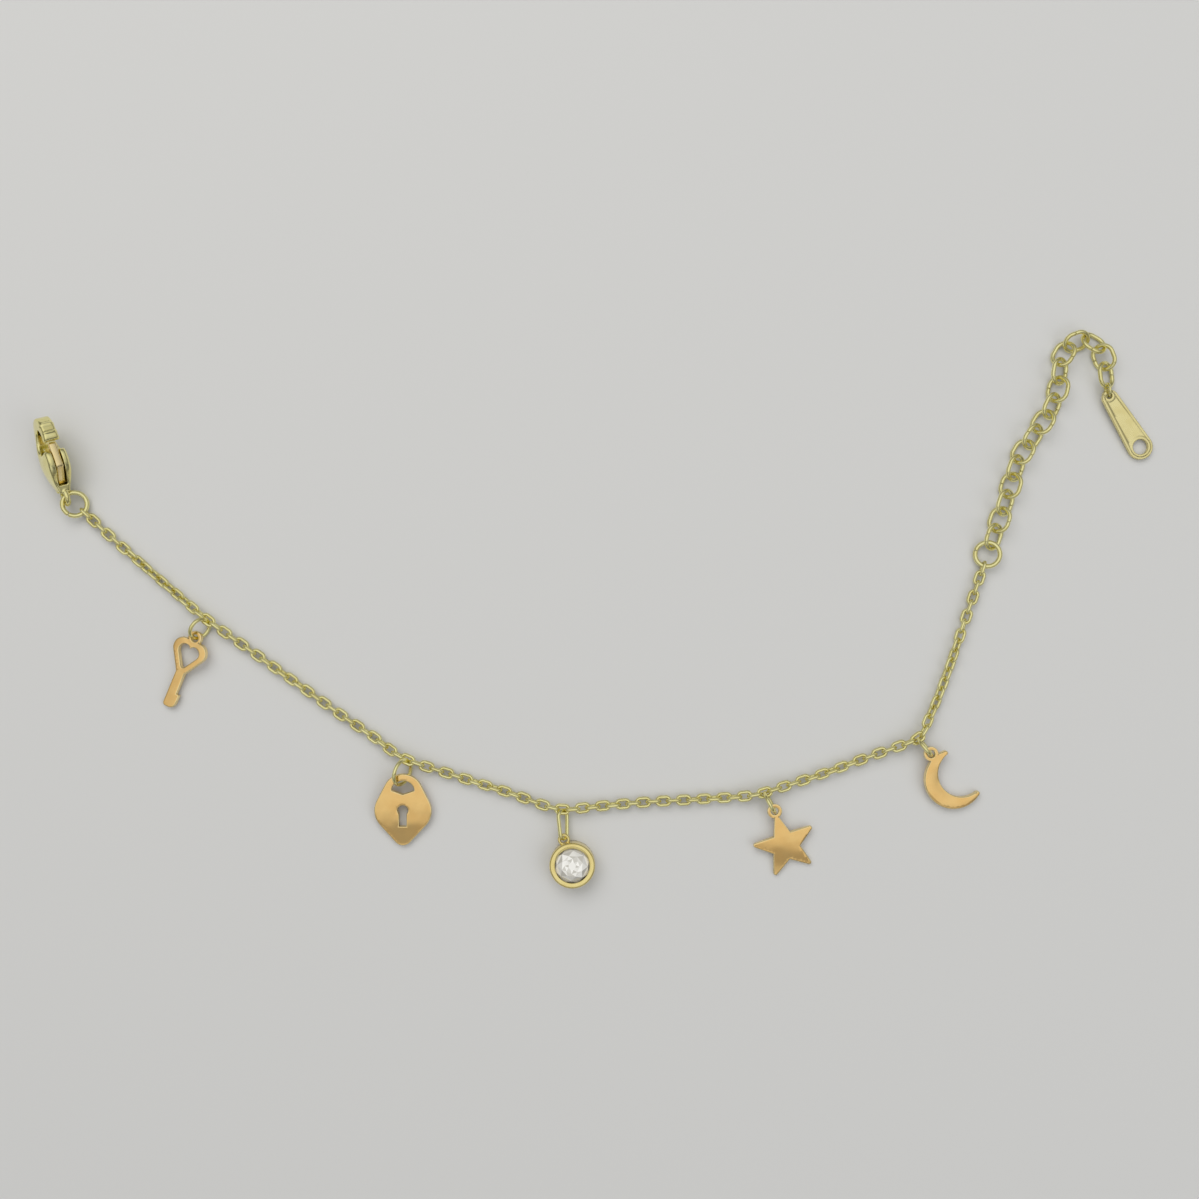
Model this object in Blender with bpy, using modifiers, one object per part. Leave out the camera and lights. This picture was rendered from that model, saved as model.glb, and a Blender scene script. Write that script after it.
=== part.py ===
"""A charm bracelet in polished yellow metal, unfastened and lying as it was laid down.

A sprung clasp, a fine cable chain with five charms, and an extender chain that
ends in a small tag.  Lengths are metres and angles are degrees.
"""

from math import acos, atan2, ceil, cos, degrees, hypot, pi, radians, sin, sqrt

import bmesh
import bpy
from mathutils import Matrix, Vector

# Room between wires that pass through each other, and between seated pieces
WIRE_PLAY = 0.00005
SEAT_GAP = 0.0001

# Fine chain: oval links, each a quarter turn from the next, slowly twisting
LINK_LENGTH = 0.0022
LINK_WIDTH = 0.0015
LINK_WIRE = 0.0004
LIFT_REACH = 0.006
CHAIN_ROUTE = (
    (-0.0694, 0.0116), (-0.0660, 0.0084), (-0.0605, 0.0036), (-0.0551, -0.0010),
    (-0.0508, -0.0043), (-0.0452, -0.0083), (-0.0407, -0.0115), (-0.0351, -0.0155),
    (-0.0305, -0.0186), (-0.0271, -0.0210), (-0.0232, -0.0226), (-0.0180, -0.0243),
    (-0.0126, -0.0260), (-0.0074, -0.0278), (-0.0046, -0.0283), (-0.0019, -0.0281),
    (0.0062, -0.0274), (0.0134, -0.0270), (0.0200, -0.0265), (0.0240, -0.0255),
    (0.0295, -0.0238), (0.0358, -0.0215), (0.0412, -0.0195), (0.0434, -0.0183),
    (0.0445, -0.0160), (0.0457, -0.0134), (0.0476, -0.0083), (0.0493, -0.0032),
    (0.0509, 0.0015), (0.0518, 0.0042),
)

# Charm rings: how far each leans, where it heads, and its share of the way along
RING_WIRE = 0.00045
HOLD_SHARE = 0.8
KEY_RING = 0.0034
KEY_RING_LEAN = 33
KEY_RING_HEADING = -124
KEY_PLACE = 0.145
LOCK_RING = 0.0039
LOCK_RING_LEAN = 30
LOCK_RING_HEADING = -105
LOCK_PLACE = 0.363
STAR_RING = 0.0033
STAR_RING_LEAN = 7
STAR_RING_HEADING = -62
STAR_PLACE = 0.69
MOON_RING = 0.0032
MOON_RING_LEAN = 11
MOON_RING_HEADING = -50
MOON_PLACE = 0.837

# Charms are flat castings with soft edges, each hung by an eye
CHARM_THICKNESS = 0.0009
CHARM_EDGE = 0.00015
EYE_HOLE = 0.0010
EYE_RIM = 0.0005
EYE_THICKNESS = 0.0007
HEART_LOBE_SHARE = 0.28
HEART_TIP_SHARE = 0.12

KEY_LENGTH = 0.0111
KEY_BOW_WIDTH = 0.0050
KEY_BOW_HEIGHT = 0.0052
KEY_BOW_DROP = 0.0004
KEY_WINDOW_WIDTH = 0.0030
KEY_SHAFT_WIDTH = 0.00135
KEY_TOOTH = 0.00045
KEY_TOOTH_LENGTH = 0.0021
KEY_HEADING = -114
KEY_ROLL = -10

LOCK_WIDTH = 0.00775
LOCK_HEIGHT = 0.0099
LOCK_DOME = 0.0027
LOCK_LOBE = 0.0030
LOCK_LOBE_DROP = 0.0051
LOCK_TIP = 0.0013
LOCK_WINDOW_WIDTH = 0.0030
LOCK_WINDOW_RISE = 0.00135
LOCK_WINDOW_CLEFT = 0.0005
LOCK_BAR = 0.00095
LOCK_RING_OFFSET = 0.0003
LOCK_HANG = 0.0003
KEYHOLE_DROP = 0.0050
KEYHOLE_RADIUS = 0.00068
KEYHOLE_SLOT = 0.00098
KEYHOLE_LENGTH = 0.0029
LOCK_HEADING = -91

STAR_RADIUS = 0.00435
STAR_WAIST = 0.0020
STAR_TIP = 0.0003
STAR_HEADING = -72

MOON_RADIUS = 0.0041
MOON_EYE_DROP = 0.0047
MOON_BITE = 0.0033
MOON_BITE_SHIFT = 0.00138
MOON_OPENING = 140
MOON_FACING = -4
MOON_HEADING = -47

# Stone drop: a round brilliant in a turned bezel, on a teardrop bail
STONE_WIDTH = 0.0051
STONE_TABLE_SHARE = 0.56
STONE_CROWN = 0.0008
STONE_GIRDLE = 0.00012
STONE_PAVILION = 0.0017
BEZEL_WALL = 0.00042
BEZEL_LIP = 0.00022
BEZEL_HEIGHT = 0.0026
BEZEL_LIP_HEIGHT = 0.00045
BEZEL_LEDGE = 0.0004
BAIL_LENGTH = 0.0043
BAIL_WIDTH = 0.0021
BAIL_FOOT = 0.0017
BAIL_WIRE = 0.0004
BAIL_LEAN = 42
BAIL_HEADING = -87
BAIL_PLACE = 0.51
DROP_HEADING = -71
DROP_EYE_HOLE = 0.0009
DROP_EYE_WIRE = 0.00035

# Clasp: a claw with two cheeks, and a sprung lever on a cross pin
CLASP_LENGTH = 0.0122
CLASP_HEIGHT = 0.0053
CLASP_THICKNESS = 0.0033
LOOP_OUTER = 0.0027
LOOP_HOLE = 0.0018
LOOP_THICKNESS = 0.0005
LOOP_RISE = 0.47
LEVER_THICKNESS = 0.0010
LEVER_HUB = 0.00085
LEVER_NOSE = 0.0004
LEVER_KNOB = 0.0005
PIN_RADIUS = 0.00035
CLASP_HEADING = 103
CLASP_PITCH = 13
CLASP_LEAN = 32
CLASP_RING = 0.0037
CLASP_RING_WIRE = 0.00055
CLASP_RING_HEADING = 138
CLASP_RING_ROLL = 14

# Claw seen from its side, as shares of the clasp's length and height
CLAW_OUTLINE = (
    (0.15, 0.33), (0.26, 0.235), (0.425, 0.085), (0.63, 0.0), (0.83, 0.065),
    (0.965, 0.30), (1.0, 0.585), (0.945, 0.87), (0.835, 0.99), (0.755, 1.0),
    (0.735, 0.86), (0.825, 0.775), (0.87, 0.585), (0.825, 0.36), (0.705, 0.275),
    (0.62, 0.38), (0.60, 0.60), (0.635, 0.87), (0.555, 0.98), (0.41, 0.925),
    (0.27, 0.715), (0.15, 0.62),
)
# Claw seen from its lever side: share of the length, then of the thickness
CLAW_FULLNESS = (
    (0.10, 0.40), (0.20, 0.52), (0.30, 0.78), (0.45, 1.0), (0.62, 0.96),
    (0.78, 0.74), (0.92, 0.62), (1.05, 0.5),
)
PIN_PLACE = (0.32, 0.51)
KNOB_PLACE = (0.47, 0.87)
NOSE_PLACE = (0.735, 0.86)
SLOT_FLOOR = 0.30
SLOT_END = 0.69

# Extender chain and its end tag
EXTENDER_LENGTH = 0.0038
EXTENDER_WIDTH = 0.0031
EXTENDER_WIRE = 0.0005
EXTENDER_LEAN = 36
EXTENDER_LINKS = 16
EXTENDER_RING = 0.0038
EXTENDER_RING_WIRE = 0.00055
EXTENDER_RING_LEAN = 14
EXTENDER_ROUTE = (
    (0.0526, 0.0061), (0.0543, 0.0116), (0.0556, 0.0156), (0.0566, 0.0189),
    (0.0583, 0.0216), (0.0605, 0.0250), (0.0618, 0.0279), (0.0621, 0.0305),
    (0.0625, 0.0328), (0.0638, 0.0345), (0.0656, 0.0350), (0.0673, 0.0342),
    (0.0682, 0.0324), (0.0684, 0.0303),
)
TAG_RING = 0.0020
TAG_RING_WIRE = 0.00034
TAG_LENGTH = 0.0106
TAG_TOP_WIDTH = 0.0022
TAG_END_WIDTH = 0.0034
TAG_THICKNESS = 0.0006
TAG_EDGE = 0.0001
TAG_HOLE = 0.00205
TAG_EYE = 0.0008
TAG_EYE_RIM = 0.00035
TAG_HEADING = -57

# Roundness of the meshes
WIRE_RESOLUTION = 1
TUBE_RESOLUTION = 2
LOOP_STEPS = 16
TURN_STEPS = 24
ARC_STEP = 18
SMOOTH_STEPS = 12
OUTLINE_STEPS = 3

# Finishes: colour, roughness and metallic value
PALE_GOLD = ((0.83, 0.74, 0.42), 0.18, 1.0)
WARM_GOLD = ((0.85, 0.62, 0.30), 0.15, 1.0)
CLEAR_STONE = ((0.86, 0.87, 0.86), 0.05, 0.0)


# Outlines and lines


def smooth_line(points, steps, closed=False):
    """A smooth line through chosen points, with some steps to each span."""
    knots = [Vector(point) for point in points]
    if closed:
        knots = [knots[-1], *knots, knots[0], knots[1]]
    else:
        knots = [2 * knots[0] - knots[1], *knots, 2 * knots[-1] - knots[-2]]
    line = [knots[1]]
    for a, b, c, d in zip(knots, knots[1:], knots[2:], knots[3:]):
        for step in range(1, steps + 1):
            t = step / steps
            bend = 2 * a - 5 * b + 4 * c - d
            twist = 3 * b - a - 3 * c + d
            line.append(b + ((c - a) * t + bend * t ** 2 + twist * t ** 3) / 2)
    return line[:-1] if closed else line


class Route:
    """A smooth line on the floor, read by the distance along it."""

    def __init__(self, points):
        self.line = smooth_line(points, SMOOTH_STEPS)
        self.marks = [0.0]
        for one, two in zip(self.line, self.line[1:]):
            self.marks.append(self.marks[-1] + (two - one).length)
        self.length = self.marks[-1]

    def at(self, distance):
        index = 1
        while index < len(self.marks) - 1 and self.marks[index] < distance:
            index += 1
        start, end = self.marks[index - 1], self.marks[index]
        share = (distance - start) / (end - start)
        return self.line[index - 1].lerp(self.line[index], share)

    def heading(self, distance, reach=LINK_WIDTH):
        ahead = self.at(min(distance + reach, self.length))
        behind = self.at(max(distance - reach, 0))
        return degrees(atan2(ahead.y - behind.y, ahead.x - behind.x))


def flat_direction(heading):
    return Vector((cos(radians(heading)), sin(radians(heading)), 0))


def axes_matrix(place, along, side):
    """A frame at a place, with X along one way and Y as near as can be to another."""
    x = along.normalized()
    z = x.cross(side).normalized()
    turn = Matrix((x, z.cross(x), z)).transposed()
    return Matrix.Translation(place) @ turn.to_4x4()


def arc(centre, radius, start, end):
    """Points round a circle from one angle to another, both included."""
    steps = max(1, ceil(abs(end - start) / ARC_STEP - 0.001))
    points = []
    for step in range(steps + 1):
        angle = radians(start + (end - start) * step / steps)
        points.append((centre[0] + radius * cos(angle), centre[1] + radius * sin(angle)))
    return points


def circle(radius):
    return arc((0, 0), radius, 0, 360)[:-1]


def belt(circles):
    """The outline of a belt pulled round circles that are given anticlockwise."""
    leaving = []
    for index, ((x, y), radius) in enumerate(circles):
        (next_x, next_y), next_radius = circles[(index + 1) % len(circles)]
        run = hypot(next_x - x, next_y - y)
        line = degrees(atan2(next_y - y, next_x - x))
        leaving.append(line - degrees(acos((radius - next_radius) / run)))
    points = []
    for index, (centre, radius) in enumerate(circles):
        start = leaving[index - 1]
        sweep = (leaving[index] - start) % 360
        points += arc(centre, radius, start, start + sweep)
    return points


def heart(width, height, drop):
    """A heart hung by its cleft: two lobes, straight flanks and a round tip."""
    lobe = width * HEART_LOBE_SHARE
    tip = width * HEART_TIP_SHARE
    reach = width / 2 - lobe
    middle = -drop - lobe
    foot = -drop - height + tip
    line = degrees(atan2(middle - foot, reach))
    flank = line - degrees(acos((tip - lobe) / hypot(reach, middle - foot)))
    cleft = 180 - degrees(acos(reach / lobe))
    right = arc((reach, middle), lobe, flank, cleft)
    left = [(-x, y) for x, y in reversed(right[:-1])]
    return right + left + arc((0, foot), tip, -180 - flank, flank)


def oval(length, width, wire):
    """The middle line of an oval link, long in X."""
    radius = (width - wire) / 2
    points = []
    for step in range(LOOP_STEPS):
        angle = 2 * pi * (step + 0.5) / LOOP_STEPS
        straight = (length - width) / 2 if cos(angle) > 0 else (width - length) / 2
        points.append((radius * cos(angle) + straight, radius * sin(angle)))
    return points


# Solids


def new_object(name, data):
    obj = bpy.data.objects.new(name, data)
    PARTS.objects.link(obj)
    return obj


def to_mesh(obj):
    """The object as it is evaluated now, as a plain welded mesh."""
    bpy.context.view_layer.update()
    graph = bpy.context.evaluated_depsgraph_get()
    mesh = bpy.data.meshes.new_from_object(obj.evaluated_get(graph))
    shape = bmesh.new()
    shape.from_mesh(mesh)
    bmesh.ops.remove_doubles(shape, verts=shape.verts, dist=1e-7)
    shape.to_mesh(mesh)
    shape.free()
    result = new_object(obj.name, mesh)
    result.matrix_world = obj.matrix_world
    bpy.data.objects.remove(obj)
    return result


def boolean(target, tool, operation):
    """Join, cut or keep the overlap of two meshes; the tool is used up."""
    change = target.modifiers.new(operation, "BOOLEAN")
    change.operation = operation
    change.object = tool
    result = to_mesh(target)
    bpy.data.objects.remove(tool)
    return result


def turned_by(obj, matrix):
    """Move a raw piece's own mesh, before it is joined to another."""
    obj.data.transform(matrix)
    return obj


def add_line(curve, points, cyclic):
    spline = curve.splines.new("POLY")
    spline.points.add(len(points) - 1)
    for point, place in zip(spline.points, points):
        point.co = (*place, 1)
    spline.use_cyclic_u = cyclic


def plate(outlines, thickness, edge=0.0):
    """A flat piece with rounded rims; the outlines after the first are holes."""
    curve = bpy.data.curves.new("plate", "CURVE")
    curve.dimensions = "2D"
    curve.fill_mode = "BOTH"
    curve.extrude = thickness / 2 - edge
    curve.bevel_depth = edge
    curve.bevel_resolution = 0
    curve.offset = -edge
    for outline in outlines:
        add_line(curve, [(x, y, 0) for x, y in outline], True)
    return to_mesh(new_object("plate", curve))


def wire_loop(points, wire):
    """A closed wire through points in its own XY plane."""
    curve = bpy.data.curves.new("loop", "CURVE")
    curve.dimensions = "3D"
    curve.bevel_depth = wire / 2
    curve.bevel_resolution = WIRE_RESOLUTION
    add_line(curve, [(x, y, 0) for x, y in points], True)
    return to_mesh(new_object("loop", curve))


def turned(profile):
    """A solid of revolution from a closed profile of radius and height."""
    mesh = bpy.data.meshes.new("turned")
    edges = [(index, (index + 1) % len(profile)) for index in range(len(profile))]
    mesh.from_pydata([(radius, 0, height) for radius, height in profile], edges, [])
    obj = new_object("turned", mesh)
    screw = obj.modifiers.new("turn", "SCREW")
    screw.steps = TURN_STEPS
    screw.render_steps = TURN_STEPS
    screw.use_merge_vertices = True
    screw.merge_threshold = 1e-7
    return to_mesh(obj)


def finish(obj, name, look=PALE_GOLD, smooth_angle=40):
    """Name a piece, give it its finish and shading, and hang it on the frame."""
    colour, roughness, metallic = look
    surface = bpy.data.materials.new(name + "_finish")
    surface.use_nodes = True
    shader = surface.node_tree.nodes["Principled BSDF"]
    shader.inputs["Base Color"].default_value = (*colour, 1)
    shader.inputs["Roughness"].default_value = roughness
    shader.inputs["Metallic"].default_value = metallic
    obj.name = name
    obj.data.name = name
    obj.data.materials.clear()
    obj.data.materials.append(surface)
    if obj.type == "MESH":
        obj.data.shade_smooth()
        obj.data.set_sharp_from_angle(angle=radians(smooth_angle))
    obj.parent = FRAME
    return obj


def make_link(name, length, width, wire, matrix):
    obj = wire_loop(oval(length, width, wire), wire)
    obj.matrix_world = matrix
    return finish(obj, name, smooth_angle=180)


# Rings and charms


class Hoop:
    """A jump ring stood on the floor, leaning to the right of its heading."""

    def __init__(self, outer, wire, lean, heading):
        self.outer = outer
        self.wire = wire
        self.radius = (outer - wire) / 2
        self.along = flat_direction(heading)
        right = flat_direction(heading - 90)
        self.up = Vector((0, 0, cos(radians(lean)))) + right * sin(radians(lean))
        self.height = self.radius * self.up.z + wire / 2
        self.hold = self.height * HOLD_SHARE
        self.centre = Vector((0, 0, self.height))

    def point(self, height, end):
        """Where the wire's middle is at a height, at the near or the far end."""
        rise = (height - self.height) / (self.radius * self.up.z)
        run = end * sqrt(1 - rise ** 2)
        return self.centre + self.radius * (run * self.along + rise * self.up)

    def thread(self, place):
        """Move the ring until its near end passes through a place."""
        shift = place - self.point(place.z, -1)
        self.centre += Vector((shift.x, shift.y, 0))

    def build(self, name):
        matrix = axes_matrix(self.centre, self.along, self.up)
        return make_link(name, self.outer, self.outer, self.wire, matrix)


def let_down(obj, eye, heading, roll=0):
    """Hold a charm at its eye and let its far end down to the floor."""
    turn = Matrix.Translation(eye) @ Matrix.Rotation(radians(heading + 90), 4, "Z")
    tilt = Matrix.Rotation(radians(roll), 4, "Y")
    low, high = -30.0, 60.0
    for _ in range(40):
        pitch = (low + high) / 2
        matrix = turn @ Matrix.Rotation(radians(pitch), 4, "X") @ tilt
        if min((matrix @ vertex.co).z for vertex in obj.data.vertices) > 0:
            low = pitch
        else:
            high = pitch
    obj.matrix_world = matrix
    return obj


def key_shape():
    bow = heart(KEY_BOW_WIDTH, KEY_BOW_HEIGHT, KEY_BOW_DROP)
    band = (KEY_BOW_WIDTH - KEY_WINDOW_WIDTH) / 2
    window_height = KEY_BOW_HEIGHT * KEY_WINDOW_WIDTH / KEY_BOW_WIDTH
    window_drop = KEY_BOW_DROP + band * 0.8
    window = heart(KEY_WINDOW_WIDTH, window_height, window_drop)
    head = plate([bow, window], CHARM_THICKNESS, CHARM_EDGE)
    half = KEY_SHAFT_WIDTH / 2
    top = -(window_drop + window_height + band / 2)
    end = EYE_HOLE / 2 + EYE_RIM - KEY_LENGTH
    heel, toe = half * 0.7, half * 1.3
    shaft = [(half, top), (-half, top)]
    shaft += arc((heel - half, end + heel), heel, 180, 270)
    shaft += arc((half + KEY_TOOTH - toe, end + toe), toe, 270, 360)
    shaft += [(half + KEY_TOOTH, end + KEY_TOOTH_LENGTH), (half, end + KEY_TOOTH_LENGTH)]
    head = boolean(head, plate([shaft], CHARM_THICKNESS, CHARM_EDGE), "UNION")
    head = boolean(head, plate([circle(EYE_HOLE / 2 + EYE_RIM * 0.9)], EYE_THICKNESS), "UNION")
    return boolean(head, plate([circle(EYE_HOLE / 2)], 2 * CHARM_THICKNESS), "DIFFERENCE")


def lock_shape():
    """A heart padlock; its eye is where the ring passes the shackle's window."""
    lobe_reach = LOCK_WIDTH / 2 - LOCK_LOBE
    outline = belt((
        ((0, -LOCK_DOME), LOCK_DOME),
        ((-lobe_reach, -LOCK_LOBE_DROP), LOCK_LOBE),
        ((0, LOCK_TIP - LOCK_HEIGHT), LOCK_TIP),
        ((lobe_reach, -LOCK_LOBE_DROP), LOCK_LOBE),
    ))
    sill = -LOCK_BAR - LOCK_WINDOW_RISE
    squash = LOCK_WINDOW_RISE / (LOCK_WINDOW_WIDTH / 2)
    window = [(x, sill + y * squash) for x, y in arc((0, 0), LOCK_WINDOW_WIDTH / 2, 0, 180)]
    window.append((0, sill - LOCK_WINDOW_CLEFT))
    opening = -degrees(acos(KEYHOLE_SLOT / 2 / KEYHOLE_RADIUS))
    keyhole = arc((0, -KEYHOLE_DROP), KEYHOLE_RADIUS, opening, 180 - opening)
    foot = KEYHOLE_RADIUS - KEYHOLE_DROP - KEYHOLE_LENGTH
    keyhole += [(-KEYHOLE_SLOT / 2, foot), (KEYHOLE_SLOT / 2, foot)]
    body = plate([outline, window, keyhole], CHARM_THICKNESS, CHARM_EDGE)
    ring_drop = LOCK_BAR + RING_WIRE / 2 + LOCK_HANG
    return turned_by(body, Matrix.Translation((LOCK_RING_OFFSET, ring_drop, 0)))


def with_eye(body):
    """Join the small eye at the origin to a charm's body."""
    body = boolean(body, plate([circle(EYE_HOLE / 2 + EYE_RIM)], EYE_THICKNESS), "UNION")
    return boolean(body, plate([circle(EYE_HOLE / 2)], 2 * CHARM_THICKNESS), "DIFFERENCE")


def star_shape():
    middle = -(STAR_RADIUS + EYE_HOLE / 2 + SEAT_GAP)
    points = []
    for arm in range(5):
        out = 90 + 72 * arm
        reach = STAR_RADIUS - STAR_TIP
        tip = (reach * cos(radians(out)), middle + reach * sin(radians(out)))
        points += arc(tip, STAR_TIP, out - 72, out + 72)
        notch = radians(out + 36)
        points.append((STAR_WAIST * cos(notch), middle + STAR_WAIST * sin(notch)))
    return with_eye(plate([points], CHARM_THICKNESS, CHARM_EDGE))


def moon_shape():
    """A crescent with blunt horns; its eye is just outside its back."""
    centre = Vector((0, -MOON_EYE_DROP))
    facing = radians(MOON_FACING)
    bite = centre + MOON_BITE_SHIFT * Vector((cos(facing), sin(facing)))
    upper = MOON_FACING + MOON_OPENING / 2
    lower = MOON_FACING - MOON_OPENING / 2

    def bite_angle(way):
        """The angle, seen from the bite's centre, of its rim along a ray from the middle."""
        ray = Vector((cos(radians(way)), sin(radians(way))))
        shift = (bite - centre).dot(ray)
        reach = shift + sqrt(MOON_BITE ** 2 - (bite - centre).length ** 2 + shift ** 2)
        rim = centre + ray * reach - bite
        return degrees(atan2(rim.y, rim.x))

    outer = arc(centre, MOON_RADIUS, upper, lower + 360)
    inner = arc(bite, MOON_BITE, bite_angle(lower) + 360, bite_angle(upper))
    return with_eye(plate([outer + inner], CHARM_THICKNESS, CHARM_EDGE))


# Stone drop


def bezel_profile():
    """The bezel's wall, ledge and lip, from its foot up the outer side and back down."""
    inner = STONE_WIDTH / 2 + SEAT_GAP
    outer = inner + BEZEL_WALL
    girdle = girdle_height()
    ledge = inner - BEZEL_LEDGE
    drop = BEZEL_LEDGE * STONE_PAVILION / (STONE_WIDTH / 2)
    lip = STONE_WIDTH / 2 - BEZEL_LIP
    return [
        (lip, BEZEL_HEIGHT), (outer - BEZEL_LIP, BEZEL_HEIGHT), (outer, BEZEL_HEIGHT - BEZEL_LIP),
        (outer, 0), (ledge, 0), (ledge, girdle - drop - SEAT_GAP), (inner, girdle - SEAT_GAP),
        (inner, girdle + STONE_GIRDLE + SEAT_GAP),
    ]


def girdle_height():
    return BEZEL_HEIGHT - BEZEL_LIP_HEIGHT - STONE_GIRDLE - SEAT_GAP


def setting_shape():
    """The bezel with the small eye soldered to its side, its foot at height nought."""
    wall = turned(bezel_profile())
    outer = STONE_WIDTH / 2 + SEAT_GAP + BEZEL_WALL
    eye_size = DROP_EYE_HOLE + 2 * DROP_EYE_WIRE
    eye = wire_loop(oval(eye_size, eye_size, DROP_EYE_WIRE), DROP_EYE_WIRE)
    eye = turned_by(eye, Matrix.Translation((0, outer + DROP_EYE_HOLE / 2, BEZEL_HEIGHT / 2)))
    return boolean(wall, eye, "UNION")


def stone_shape():
    """A brilliant: table, crown, girdle and pavilion, as the hull of its corners."""
    radius = STONE_WIDTH / 2
    shape = bmesh.new()
    rows = (
        # radius, height, corners and turn of each row of facet corners
        (radius * STONE_TABLE_SHARE, STONE_GIRDLE + STONE_CROWN, 8, 22.5),
        (radius * 0.80, STONE_GIRDLE + STONE_CROWN * 0.56, 8, 0),
        (radius, STONE_GIRDLE, 16, 0),
        (radius, 0, 16, 0),
        (radius * 0.22, -STONE_PAVILION * 0.82, 8, 22.5),
    )
    for size, height, corners, turn in rows:
        for corner in range(corners):
            angle = radians(turn + 360 * corner / corners)
            shape.verts.new((size * cos(angle), size * sin(angle), height))
    shape.verts.new((0, 0, -STONE_PAVILION))
    bmesh.ops.convex_hull(shape, input=shape.verts)
    mesh = bpy.data.meshes.new("stone")
    shape.to_mesh(mesh)
    shape.free()
    return new_object("stone", mesh)


def build_stone_drop(carrier):
    """Bail through its link, setting on the bail, stone in the setting."""
    along = flat_direction(BAIL_HEADING)
    up = Vector((0, 0, cos(radians(BAIL_LEAN))))
    up += flat_direction(BAIL_HEADING - 90) * sin(radians(BAIL_LEAN))
    head = (BAIL_WIDTH - BAIL_WIRE) / 2
    foot = (BAIL_FOOT - BAIL_WIRE) / 2
    run = BAIL_LENGTH - BAIL_WIRE
    link_slack = (LINK_WIDTH - BAIL_WIRE) / 2 - LINK_WIRE - WIRE_PLAY
    start = carrier + along * link_slack
    bail = wire_loop(belt((((head, 0), head), ((run - foot, 0), foot))), BAIL_WIRE)
    bail.matrix_world = axes_matrix(start, along, up)
    finish(bail, "stone_bail", smooth_angle=180)

    eye_slack = (DROP_EYE_HOLE - BAIL_WIRE) / 2 - 3 * WIRE_PLAY
    eye = start + along * (run + eye_slack)
    outer = STONE_WIDTH / 2 + SEAT_GAP + BEZEL_WALL
    centre = eye + flat_direction(DROP_HEADING) * (outer + DROP_EYE_HOLE / 2)
    turn = Matrix.Rotation(radians(DROP_HEADING + 90), 4, "Z")
    setting = setting_shape()
    setting.matrix_world = Matrix.Translation((centre.x, centre.y, 0)) @ turn
    finish(setting, "stone_setting")
    stone = stone_shape()
    stone.matrix_world = Matrix.Translation((centre.x, centre.y, girdle_height())) @ turn
    finish(stone, "stone", CLEAR_STONE, smooth_angle=1)


# Clasp, with the middle of its loop at its own origin


def clasp_point(place):
    """A place given as shares of the clasp's length and height."""
    return Vector((place[0] * CLASP_LENGTH - LOOP_OUTER / 2, (place[1] - LOOP_RISE) * CLASP_HEIGHT))


def upright(obj):
    """Stand a plate up, so that its outline is seen from the clasp's side."""
    return turned_by(obj, Matrix.Rotation(radians(90), 4, "X"))


def clasp_body_shape():
    claw = smooth_line([clasp_point(place) for place in CLAW_OUTLINE], OUTLINE_STEPS, closed=True)
    body = upright(plate([claw], 2 * CLASP_THICKNESS))
    rows = [Vector((clasp_point((x, 0)).x, share * CLASP_THICKNESS / 2)) for x, share in CLAW_FULLNESS]
    near = smooth_line(rows, OUTLINE_STEPS)
    fullness = [*near, *(Vector((point.x, -point.y)) for point in reversed(near))]
    body = boolean(body, plate([fullness], 3 * CLASP_HEIGHT), "INTERSECT")
    body = boolean(body, upright(plate([circle(LOOP_OUTER / 2)], LOOP_THICKNESS)), "UNION")
    body = boolean(body, upright(plate([circle(LOOP_HOLE / 2)], 2 * CLASP_THICKNESS)), "DIFFERENCE")

    pin = clasp_point(PIN_PLACE)
    half = LEVER_THICKNESS / 2 + SEAT_GAP
    rear = pin.x - LEVER_HUB - SEAT_GAP
    front = clasp_point((SLOT_END, 0)).x
    floor = clasp_point((0, SLOT_FLOOR)).y
    slot = plate([[(rear, half), (rear, -half), (front, -half), (front, half)]], CLASP_HEIGHT)
    slot = turned_by(slot, Matrix.Translation((0, 0, floor + CLASP_HEIGHT / 2)))
    body = boolean(body, slot, "DIFFERENCE")
    rod = upright(plate([circle(PIN_RADIUS)], 2 * half + CLASP_THICKNESS / 4))
    return boolean(body, turned_by(rod, Matrix.Translation((pin.x, 0, pin.y))), "UNION")


def clasp_lever_shape():
    """Hub, thumb knob and gate, all inside the swing of the gate's tip."""
    pin = clasp_point(PIN_PLACE)
    nose = clasp_point(NOSE_PLACE)
    knob = clasp_point(KNOB_PLACE)
    reach = (nose - pin).length - 2 * SEAT_GAP - LEVER_NOSE
    tip = pin + (nose - pin).normalized() * reach
    outline = belt(((pin, LEVER_HUB), (tip, LEVER_NOSE), (knob, LEVER_KNOB)))
    lever = upright(plate([outline], LEVER_THICKNESS))
    bore = upright(plate([circle(PIN_RADIUS + SEAT_GAP)], 2 * LEVER_THICKNESS))
    return boolean(lever, turned_by(bore, Matrix.Translation((pin.x, 0, pin.y))), "DIFFERENCE")


def clasp_turn():
    """The clasp's own axes: heading away, hook raised, lever side leaning right."""
    heading, pitch, lean = radians(CLASP_HEADING), radians(CLASP_PITCH), radians(CLASP_LEAN)
    along = Vector((cos(heading) * cos(pitch), sin(heading) * cos(pitch), sin(pitch)))
    right = Vector((sin(heading), -cos(heading), 0))
    lever_side = right.cross(along) * cos(lean) + right * sin(lean)
    return axes_matrix(Vector(), along, lever_side.cross(along))


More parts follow.
